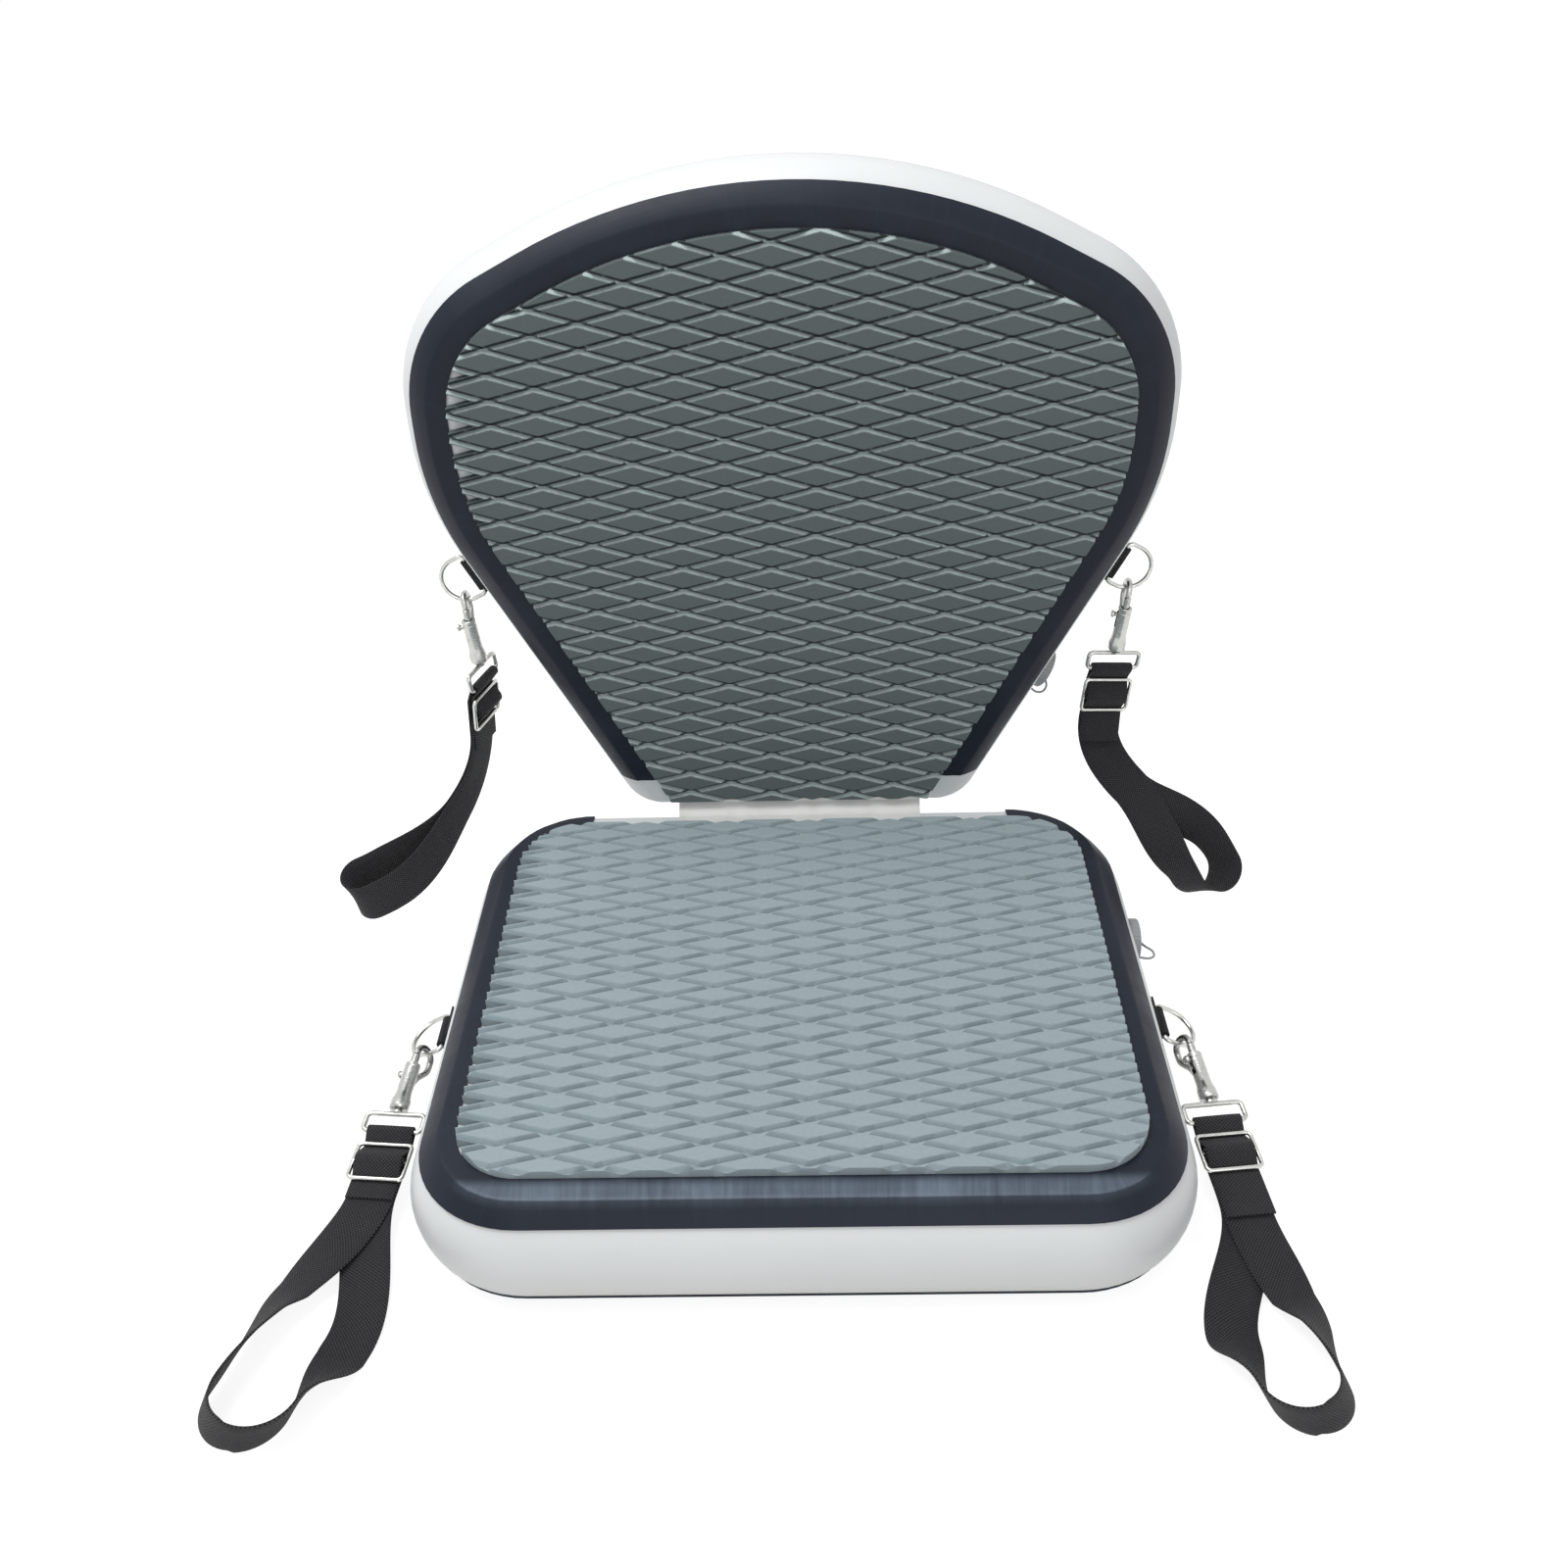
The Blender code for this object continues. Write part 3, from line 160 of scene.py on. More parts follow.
class Nodes:
    """The node tree of a material or of the world."""

    def __init__(self, name: str, tree: bpy.types.NodeTree | None = None) -> None:
        """An empty Principled material, or a tree that is there.

        Args:
            name: the material's name.
            tree: the tree to work in, in place of a new material's.
        """
        self.tree = tree
        if tree is None:
            self.material = bpy.data.materials.new(name)
            self.material.use_nodes = True
            self.tree = self.material.node_tree
            self.shader = self.tree.nodes["Principled BSDF"]

    def node(self, kind: str, settings: dict | None = None,
             sockets: dict | None = None) -> bpy.types.Node:
        """A node of any type.

        Args:
            kind: the node's type name.
            settings: its own settings, set first; "stops" are a ramp's positions and colours.
            sockets: what goes into its sockets, by name or number.

        Returns:
            The new node.
        """
        made = self.tree.nodes.new(kind)
        for key, value in (settings or {}).items():
            if key == "stops":
                ramp = made.color_ramp.elements
                while len(ramp) < len(value):
                    ramp.new(0.5)
                for element, (place, colour) in zip(ramp, value):
                    element.position = place
                    element.color = colour
            else:
                setattr(made, key, value)
        for key, value in (sockets or {}).items():
            self.feed(made.inputs[key], value)
        return made

    def feed(self, socket: bpy.types.NodeSocket, value: object) -> None:
        """Give a socket a link or a constant."""
        if isinstance(value, Value):
            value = value.socket
        if isinstance(value, bpy.types.NodeSocket):
            self.tree.links.new(value, socket)
        elif value is not None:
            socket.default_value = value

    def value(self, node: bpy.types.Node, output: str | int = 0) -> Value:
        """An output of a node as a value."""
        return Value(self, node.outputs[output])

    def spot(self) -> bpy.types.NodeSocket:
        """The place on the piece, in its own metres."""
        return self.node("ShaderNodeTexCoord").outputs["Object"]

    def upward(self) -> Value:
        """How far the surface faces up the piece's own Z, from -1 to 1."""
        normal = self.node("ShaderNodeTexCoord").outputs["Normal"]
        split = self.node("ShaderNodeSeparateXYZ", None, {"Vector": normal})
        return self.value(split, "Z")

    def seen(self) -> Value:
        """1 for a ray from the camera, off a gloss or through a clear body, else 0."""
        path = self.node("ShaderNodeLightPath")
        found = self.value(path, "Is Camera Ray").most(self.value(path, "Is Glossy Ray"))
        return found.most(self.value(path, "Is Transmission Ray"))

    def lie(self) -> tuple[Value, Value]:
        """The distances along and across a strip, in metres."""
        found = self.node("ShaderNodeAttribute", {"attribute_name": "lie"})
        split = self.node("ShaderNodeSeparateXYZ", None, {"Vector": found.outputs["Vector"]})
        return self.value(split, "X"), self.value(split, "Y")

    def point(self, x: "Value | float", y: "Value | float",
              z: "Value | float" = 0.0) -> bpy.types.NodeSocket:
        """A vector of three values."""
        made = self.node("ShaderNodeCombineXYZ", None, {"X": x, "Y": y, "Z": z})
        return made.outputs["Vector"]

    def grain(self, where: bpy.types.NodeSocket, scale: float, detail: float = 3.0,
              rough: float = 0.55) -> Value:
        """Noise from 0 to 1.

        Args:
            where: the place it is read at.
            scale: its repeats in a metre.
            detail: its octaves.
            rough: how strong the fine ones are.

        Returns:
            The noise.
        """
        made = self.node("ShaderNodeTexNoise", None, {
            "Vector": where, "Scale": scale, "Detail": detail, "Roughness": rough})
        return self.value(made, "Fac")

    def blend(self, share: "Value | float", first: object, second: object) -> bpy.types.NodeSocket:
        """One colour over another by a share."""
        made = self.node("ShaderNodeMix", {"data_type": "RGBA"})
        self.feed(made.inputs[0], share)
        self.feed(made.inputs[6], first)
        self.feed(made.inputs[7], second)
        return made.outputs[2]

    def bump(self, height: Value, depth: float, strength: float = 1.0) -> None:
        """Raise the surface by a height times a depth in metres."""
        made = self.node("ShaderNodeBump", None, {
            "Strength": strength, "Distance": depth, "Height": height})
        self.feed(self.shader.inputs["Normal"], made.outputs["Normal"])

    def finish(self, colour: object, roughness: object, **constants: float) -> bpy.types.Material:
        """Feed the shader and hand over the material.

        Args:
            colour: the base colour.
            roughness: the roughness.
            constants: other sockets by name, with spaces as underscores.

        Returns:
            The material.
        """
        self.feed(self.shader.inputs["Base Color"], colour)
        self.feed(self.shader.inputs["Roughness"], roughness)
        for key, value in constants.items():
            self.feed(self.shader.inputs[key.replace("_", " ")], value)
        return self.material


Colour = tuple[float, float, float]


def rgba(colour: Colour, level: float = 1.0) -> tuple[float, float, float, float]:
    """A colour at a level, with full alpha."""
    return (colour[0] * level, colour[1] * level, colour[2] * level, 1.0)


# Finishes


@dataclass(frozen=True)
class Skin:
    """The chambers' white coated fabric."""

    slot: str = "white_pvc"
    colour: Colour = (0.75, 0.775, 0.785)
    # The colour of the painted shade on walls that face down.
    downward_wall_shade: Colour = (0.46, 0.445, 0.415)
    roughness: float = 0.40

    def material(self) -> bpy.types.Material:
        """The white skin: cloudiness, a fine leather grain and painted shade on walls that face down."""
        make = Nodes(self.slot)
        where = make.spot()
        cloud = make.grain(where, 14.0, 2.0)
        scuff = make.grain(where, 160.0, 4.0, 0.7).ramp(0.62, 0.75)
        cells = make.node("ShaderNodeTexVoronoi", {"feature": "SMOOTH_F1"}, {
            "Vector": where, "Scale": 900.0, "Smoothness": 0.5})
        colour = make.blend(cloud, rgba(self.colour), rgba(self.colour, 0.94))
        colour = make.blend(scuff * 0.2, colour, rgba((0.60, 0.60, 0.57)))
        # Painted shade: walls darken as they face down the piece's own Z; a face turned straight down is
        # left out.
        down = 0.0 - make.upward()
        under = down.ramp(-0.35, 0.85) * (1 - down.ramp(0.90, 0.99))
        colour = make.blend(under * 0.80, colour, rgba(self.downward_wall_shade))
        make.bump(make.value(cells, "Distance") * 0.5 + make.grain(where, 2400.0, 2.0) * 0.5,
                  0.00012, 0.35)
        return make.finish(colour, cloud * 0.12 + scuff * 0.1 + (self.roughness - 0.06))


@dataclass(frozen=True)
class Tape:
    """The navy seam tape, glued over both edges of a pad."""

    slot: str = "navy_tape"
    name: str = "navy_tape"
    colour: Colour = (0.0085, 0.0125, 0.022)
    # Hazy patches: partly dust, partly painted sheen.
    haze_and_sheen: Colour = (0.020, 0.026, 0.040)
    # Painted sheen on the upward face in front of the edge line: its colour, its strength and where that
    # edge lies.
    sheen_colour: Colour = (0.155, 0.195, 0.250)
    sheen_share: float = 0.0
    sheen_edge: float = -0.142
    roughness: float = 0.46

    def material(self) -> bpy.types.Material:
        """The navy tape: streaks across it, hazy patches that are partly dust and partly painted sheen,
        small pulls and a painted sheen along the front edge.
        """
        make = Nodes(self.name)
        along, across = make.lie()
        where = make.spot()
        streak = make.grain(make.point(along * 260.0, across * 22.0), 1.0, 3.0, 0.6)
        long_streak = make.grain(make.point(along * 9.0, across * 700.0), 1.0, 2.0)
        # Hazy patches, partly dust and partly painted sheen.
        bloom_and_sheen = make.grain(where, 26.0, 3.0).ramp(0.40, 0.72)
        colour = make.blend(bloom_and_sheen * 0.40 + streak.ramp(0.5, 0.75) * 0.25,
                            rgba(self.colour), rgba(self.haze_and_sheen))
        # Painted sheen where the tape faces up in front of the edge line.
        if self.sheen_share:
            split = make.node("ShaderNodeSeparateXYZ", None, {"Vector": where})
            front = 1 - make.value(split, "Y").ramp(self.sheen_edge - 0.004, self.sheen_edge + 0.004)
            top = make.upward().ramp(0.75, 0.95)
            painted_sheen = front * top * (streak * 0.9 + bloom_and_sheen * 0.3 + 0.15) * self.sheen_share
            colour = make.blend(painted_sheen, colour, rgba(self.sheen_colour))
        pulls = streak * 0.7 + long_streak * 0.3
        make.bump(pulls + make.grain(where, 1800.0, 2.0) * 0.12, 0.0004, 0.40)
        return make.finish(colour, streak * 0.14 + bloom_and_sheen * 0.10 + (self.roughness - 0.1),
                           Specular_IOR_Level=0.22)


@dataclass(frozen=True)
class Foam:
    """Closed-cell foam cut into diamonds."""

    slot: str
    colour: Colour
    pattern: tuple[float, float, float]
    cell_width: float
    cell_height: float
    # Painted shade for the wall above each groove's middle and a painted highlight for the wall below it:
    # their colours, and a share for each family of grooves.
    shade: Colour
    shade_share: tuple[float, float]
    shade_dash: float
    light: Colour
    light_share: tuple[float, float]

    def grooves(self, make: Nodes) -> list[tuple[Value, Value]]:
        """For each family of grooves, how far a point lies above its nearest groove's middle.

        Args:
            make: the material.

        Returns:
            The signed distance in metres, and the place along the groove in block lengths.
        """
        lattice = Lattice(self.pattern, self.cell_width, self.cell_height)
        split = make.node("ShaderNodeSeparateXYZ", None, {"Vector": make.spot()})
        x = make.value(split, "X") - self.pattern[0]
        y = make.value(split, "Y") - self.pattern[1]
        side = lattice.pitch / math.sin(2 * lattice.slope)
        found = []
        for way in (lattice.rising, lattice.falling):
            off = (y * way.x - x * way.y) / lattice.pitch
            above = ((off + 0.5).part() - 0.5) * lattice.pitch
            found.append((above, (x * way.x + y * way.y) / side))
        return found

    def material(self) -> bpy.types.Material:
        """The foam: pores, painted shade on the wall above each groove and a painted highlight on the one
        below it.
        """
        make = Nodes(self.slot)
        where = make.spot()
        pores = make.grain(where, 2600.0, 2.0, 0.7)
        mottle = make.grain(where, 420.0, 3.0, 0.7)
        patch = make.grain(where, 11.0, 2.0)
        tone = (pores - 0.5) * 0.30 + (mottle - 0.5) * 0.42 + (patch - 0.5) * 0.20 + 0.5
        colour = make.blend(tone, rgba(self.colour, 0.76), rgba(self.colour, 1.24))
        wobble = (mottle - 0.5) * 0.0005
        # Painted highlights below each groove's middle, then painted shade above it, cut into dashes along
        # each groove.
        shades, lights = [], []
        for above, along in self.grooves(make):
            above = above + wobble
            dash = (along + wobble * 60.0).part().ramp(self.shade_dash, self.shade_dash + 0.12)
            shades.append(above.ramp(-0.0003, 0.0002) * (1 - above.ramp(0.0014, 0.0019)) * dash)
            lights.append((0.0 - above).ramp(0.0001, 0.0006)
                          * (1 - (0.0 - above).ramp(0.0013, 0.0020)))
        for light, share in zip(lights, self.light_share):
            colour = make.blend(light * (mottle * 0.4 + 0.8) * share, colour, rgba(self.light))
        for shade, share in zip(shades, self.shade_share):
            colour = make.blend(shade * share, colour, rgba(self.shade))
        make.bump(pores * 0.6 + mottle * 0.4, 0.0003, 0.45)
        return make.finish(colour, mottle * 0.12 + 0.80, Specular_IOR_Level=0.2)


@dataclass(frozen=True)
class Weave:
    """Black polyester webbing, or the same yarn as tabs."""

    slot: str = "black_webbing"
    dark: Colour = (0.003, 0.003, 0.0035)
    light: Colour = (0.060, 0.060, 0.066)
    rib: float = 0.0017
    yarn: float = 0.00195

    def material(self) -> bpy.types.Material:
        """The webbing: ribs across it, a shifted row of yarns along it and loose fibres."""
        make = Nodes(self.slot)
        along, across = make.lie()
        turn = 2 * math.pi
        column = (across * (turn / self.yarn)).sine()
        shifted = along * (turn / self.rib) + column.ramp(-0.2, 0.2) * math.pi
        rib = shifted.sine() * 0.5 + 0.5
        fibre = make.grain(make.point(along * 900.0, across * 5200.0), 1.0, 2.0)
        body = rib * (abs(column) * 0.5 + 0.5)
        dust = make.grain(make.spot(), 70.0, 4.0, 0.7).ramp(0.5, 0.8)
        shade = make.blend(body * 0.95 + (fibre - 0.5) * 0.2, rgba(self.dark), rgba(self.light))
        colour = make.blend(dust * 0.08, shade, rgba((0.11, 0.11, 0.115)))
        make.bump(body * 0.8 + fibre * 0.2, 0.0006, 0.9)
        return make.finish(colour, fibre * 0.15 + 0.66, Sheen_Weight=0.06, Sheen_Roughness=0.45,
                           Specular_IOR_Level=0.25)


@dataclass(frozen=True)
class Metal:
    """Nickel-plated wire or casting."""

    slot: str
    colour: Colour
    roughness: float
    pits: float

    def material(self) -> bpy.types.Material:
        """Plated metal: dull patches, fine scratches and, on castings, small pits."""
        make = Nodes(self.slot)
        where = make.spot()
        dull = make.grain(where, 190.0, 4.0, 0.65).ramp(0.45, 0.75)
        scratch = make.grain(where, 2300.0, 3.0, 0.8).ramp(0.55, 0.75)
        colour = make.blend(dull * 0.5, rgba(self.colour), rgba(self.colour, 0.55))
        make.bump(make.grain(where, 700.0, 3.0) * self.pits + scratch * 0.15, 0.0002, 0.4)
        return make.finish(colour, dull * 0.22 + scratch * 0.08 + self.roughness, Metallic=1.0)


@dataclass(frozen=True)
class Plastic:
    """The valves' moulded grey plastic."""

    slot: str = "grey_valve"
    colour: Colour = (0.30, 0.31, 0.32)

    def material(self) -> bpy.types.Material:
        """Moulded plastic with a spark-eroded grain."""
        make = Nodes(self.slot)
        where = make.spot()
        wear = make.grain(where, 240.0, 3.0, 0.7)
        grain = make.grain(where, 3200.0, 2.0)
        colour = make.blend(wear, rgba(self.colour, 0.85), rgba(self.colour, 1.15))
        make.bump(grain, 0.00015, 0.4)
        return make.finish(colour, wear * 0.16 + 0.36)


@dataclass(frozen=True)
class Cloth:
    """The hinge strip's coated cloth."""

    slot: str = "white_pvc"
    name: str = "hinge_cloth"
    colour: Colour = (0.82, 0.82, 0.81)
    thread: float = 0.0008

    def material(self) -> bpy.types.Material:
        """Coated cloth: the scrim shows through as a fine square mesh."""
        make = Nodes(self.name)
        along, across = make.lie()
        turn = 2 * math.pi / self.thread
        mesh = (along * turn).sine() * (across * turn).sine()
        soil = make.grain(make.spot(), 60.0, 3.0).ramp(0.45, 0.8)
        colour = make.blend(soil * 0.4, rgba(self.colour), rgba((0.62, 0.60, 0.55)))
        make.bump(mesh * 0.5 + 0.5, 0.00012, 0.5)
        return make.finish(colour, soil * 0.1 + 0.45)


@dataclass(frozen=True)
class Ground:
    """The pale floor, which shows white to the camera and keeps a soft shadow."""

    colour: Colour = (0.9, 0.9, 0.9)
    share: float = 0.55
    glow: float = 1.55

    def material(self) -> bpy.types.Material:
        """A pale floor, most of it plain white where the camera sees it."""
        make = Nodes("floor")
        tree = make.tree
        glow = make.node("ShaderNodeEmission", None, {"Color": rgba((1, 1, 1)), "Strength": self.glow})
        mixed = make.node("ShaderNodeMixShader", None, {"Fac": make.seen() * self.share})
        make.finish(rgba(self.colour), 0.9, Specular_IOR_Level=0.0)
        tree.links.new(make.shader.outputs[0], mixed.inputs[1])
        tree.links.new(glow.outputs[0], mixed.inputs[2])
        tree.links.new(mixed.outputs[0], tree.nodes["Material Output"].inputs["Surface"])
        return make.material


# Mesh making


def smooth_step(share: float) -> float:
    """A rise from 0 to 1 with level ends."""
    share = max(0.0, min(1.0, share))
    return share * share * (3 - 2 * share)


def mesh_of(bm: bmesh.types.BMesh, name: str) -> bpy.types.Mesh:
    """A mesh of a bmesh, its faces pointing out."""
    bmesh.ops.recalc_face_normals(bm, faces=bm.faces)
    mesh = bpy.data.meshes.new(name)
    bm.to_mesh(mesh)
    bm.free()
    return mesh


def strip_mesh(sections: Sequence[Sequence[Vector]], lies: Sequence[Sequence[Vector]], name: str,
               around: bool, onward: bool) -> bpy.types.Mesh:
    """A skin over sections of points, with each point's place along and across it.

    Args:
        sections: rows of points, each as long as the first.
        lies: (along, across, 0) for each point.
        name: the mesh's name.
        around: whether each row closes on itself.
        onward: whether the last row meets the first.

    Returns:
        The closed mesh.
    """
    bm = bmesh.new()
    layer = bm.verts.layers.float_vector.new("lie")
    rows = []
    for points, places in zip(sections, lies):
        row = []
        for point, spot in zip(points, places):
            vert = bm.verts.new(point)
            vert[layer] = spot
            row.append(vert)
        rows.append(row)
    for k in range(len(rows) if onward else len(rows) - 1):
        near, far = rows[k], rows[(k + 1) % len(rows)]
        for i in range(len(near) if around else len(near) - 1):
            j = (i + 1) % len(near)
            bm.faces.new((near[i], near[j], far[j], far[i]))
    if around and not onward:
        bm.faces.new(rows[0])
        bm.faces.new(rows[-1])
    if onward and not around:
        bm.faces.new([row[0] for row in rows])
        bm.faces.new([row[-1] for row in rows])
    return mesh_of(bm, name)


def loft(rings: Sequence[Ring], name: str) -> bpy.types.Mesh:
    """A closed solid through closed rings."""
    lies = [[Vector()] * len(ring) for ring in rings]
    return strip_mesh(rings, lies, name, around=True, onward=False)


def turned(profile: Sequence[tuple[float, float]], name: str, steps: int = 48) -> bpy.types.Mesh:
    """A mesh turned round Z.

    Args:
        profile: (radius, height) points, ending on the axis.
        name: the mesh's name.
        steps: the facets round it.

    Returns:
        The closed mesh.
    """
    bm = bmesh.new()
    points = [bm.verts.new((radius, 0, height)) for radius, height in profile]
    for low, high in zip(points, points[1:]):
        bm.edges.new((low, high))
    if profile[0][0] > 0:
        bm.edges.new((points[-1], points[0]))
    bmesh.ops.spin(bm, geom=bm.verts[:] + bm.edges[:], angle=2 * math.pi, steps=steps,
                   axis=(0, 0, 1), cent=(0, 0, 0), use_merge=True)
    bmesh.ops.remove_doubles(bm, verts=bm.verts, dist=0.00001)
    return mesh_of(bm, name)


def evaluated(piece: bpy.types.Object, name: str) -> bpy.types.Mesh:
    """What an object's modifiers give, as a mesh of its own."""
    bpy.context.view_layer.update()
    seen = piece.evaluated_get(bpy.context.evaluated_depsgraph_get())
    mesh = bpy.data.meshes.new_from_object(seen)
    mesh.name = name
    return mesh


def wire(points: Sequence[Vector], radius: float, name: str, closed: bool = False,
         order: int = 4) -> bpy.types.Mesh:
    """A round wire along points."""
    curve = bpy.data.curves.new(name, "CURVE")
    curve.dimensions = "3D"
    curve.bevel_depth = radius
    curve.bevel_resolution = order
    curve.use_fill_caps = not closed
    spline = curve.splines.new("POLY")
    spline.points.add(len(points) - 1)
    for target, point in zip(spline.points, points):
        target.co = (*point, 1)
    spline.use_cyclic_u = closed
    holder = bpy.data.objects.new(name, curve)
    bpy.context.scene.collection.objects.link(holder)
    mesh = evaluated(holder, name)
    bpy.data.objects.remove(holder, do_unlink=True)
    bm = bmesh.new()
    bm.from_mesh(mesh)
    bmesh.ops.remove_doubles(bm, verts=bm.verts, dist=0.00001)
    bpy.data.meshes.remove(mesh)
    return mesh_of(bm, name)


def combined(base: bpy.types.Mesh, tools: Iterable[tuple[bpy.types.Mesh, str]],
             name: str) -> bpy.types.Mesh:
    """A mesh after Booleans with others.

    Args:
        base: the mesh to start from.
        tools: each mesh with the operation that it makes.
        name: the result's name.

    Returns:
        The result.
    """
    holder = bpy.data.objects.new(name, base)
    bpy.context.scene.collection.objects.link(holder)
    helpers = []
    for mesh, operation in tools:
        helper = bpy.data.objects.new(f"{name}_tool", mesh)
        bpy.context.scene.collection.objects.link(helper)
        change = holder.modifiers.new("change", "BOOLEAN")
        change.operation = operation
        change.object = helper
        change.solver = "EXACT"
        helpers.append(helper)
    result = evaluated(holder, name)
    for spare in (holder, *helpers):
        bpy.data.objects.remove(spare, do_unlink=True)
    return result


def box_mesh(centre: Vector, size: Vector, name: str, turn: Matrix | None = None) -> bpy.types.Mesh:
    """A box as a cutting tool."""
    bm = bmesh.new()
    matrix = (turn or Matrix.Identity(4)) @ Matrix.Translation(centre) @ Matrix.Diagonal((*size, 1))
    bmesh.ops.create_cube(bm, size=1, matrix=matrix)
    return mesh_of(bm, name)


def arc(centre: tuple[float, float], radius: float, start: float, end: float,
        steps: int) -> list[tuple[float, float]]:
    """Points (u, v) along an arc, its angles in degrees."""
    angles = [math.radians(start + (end - start) * k / steps) for k in range(steps + 1)]
    return [(centre[0] + radius * math.cos(a), centre[1] + radius * math.sin(a)) for a in angles]


def rounded_frame(half: float, low: float, high: float, radius: float) -> list[Vector]:
    """A rounded rectangle in the XZ plane."""
    corners = (((half - radius, high - radius), 0), ((-half + radius, high - radius), 90),
               ((-half + radius, low + radius), 180), ((half - radius, low + radius), 270))
    return [Vector((u, 0, v)) for centre, start in corners
            for u, v in arc(centre, radius, start, start + 90, 6)]


def axes(origin: Vector, x: Vector, z: Vector) -> Matrix:
    """A frame from an origin, its X direction and its Z direction."""
    z = z.normalized()
    x = (x - z * x.dot(z)).normalized()
    matrix = Matrix((x, z.cross(x), z)).transposed().to_4x4()
    matrix.translation = origin
    return matrix


# Pieces on the frame

MATERIALS: dict[str, bpy.types.Material] = {}


def dress(mesh: bpy.types.Mesh, node: str, body: str | tuple, finish: object,
          place: Matrix | None = None, sharp: float = 35.0) -> bpy.types.Object:
    """Put a mesh in place of a node of the frame.

    Args:
        mesh: the piece's mesh.
        node: the node that it stands for.
        body: the body that it rides on, or a tuple, whose contents are not used, for a piece that stays
            where it stands.
        finish: the finish that it takes.
        place: where it stands.
        sharp: the angle in degrees above which an edge stays sharp.

    Returns:
        The piece.
    """
    key = getattr(finish, "name", finish.slot)
    if key not in MATERIALS:
        MATERIALS[key] = finish.material()
    piece = bpy.data.objects.new(f"{node}_look", mesh)
    bpy.context.scene.collection.objects.link(piece)
    mesh.materials.clear()
    mesh.materials.append(MATERIALS[key])
    mesh.shade_smooth()
    mesh.set_sharp_from_angle(angle=math.radians(sharp))
    piece.matrix_world = place or Matrix.Identity(4)
    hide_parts(node)
    if isinstance(body, tuple):
        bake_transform(piece)
    else:
        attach(piece, body)
    log.info("%s: %d faces", piece.name, len(mesh.polygons))
    return piece


@dataclass(frozen=True)
class Lattice:
    """The two families of grooves: their directions and their pitch."""

    pattern: tuple[float, float, float]
    width: float
    height: float

    @property
    def slope(self) -> float:
        """The grooves' angle to the pattern's own axis."""
        return math.atan2(self.height, self.width)

    @property
    def pitch(self) -> float:
        """The distance between neighbouring grooves, square to them."""
        return self.width * math.sin(self.slope)

    @property
    def rising(self) -> Vector:
        """The direction of the first family."""
        angle = self.pattern[2] + self.slope
        return Vector((math.cos(angle), math.sin(angle)))

    @property
    def falling(self) -> Vector:
        """The direction of the second family."""
        angle = self.pattern[2] - self.slope
        return Vector((math.cos(angle), math.sin(angle)))


# How deep a groove is, as a share, at each distance in metres from its middle
GROOVE_PROFILE = ((0.0, 1.0), (0.0003, 0.96), (0.00165, 0.12), (0.0021, 0.0))


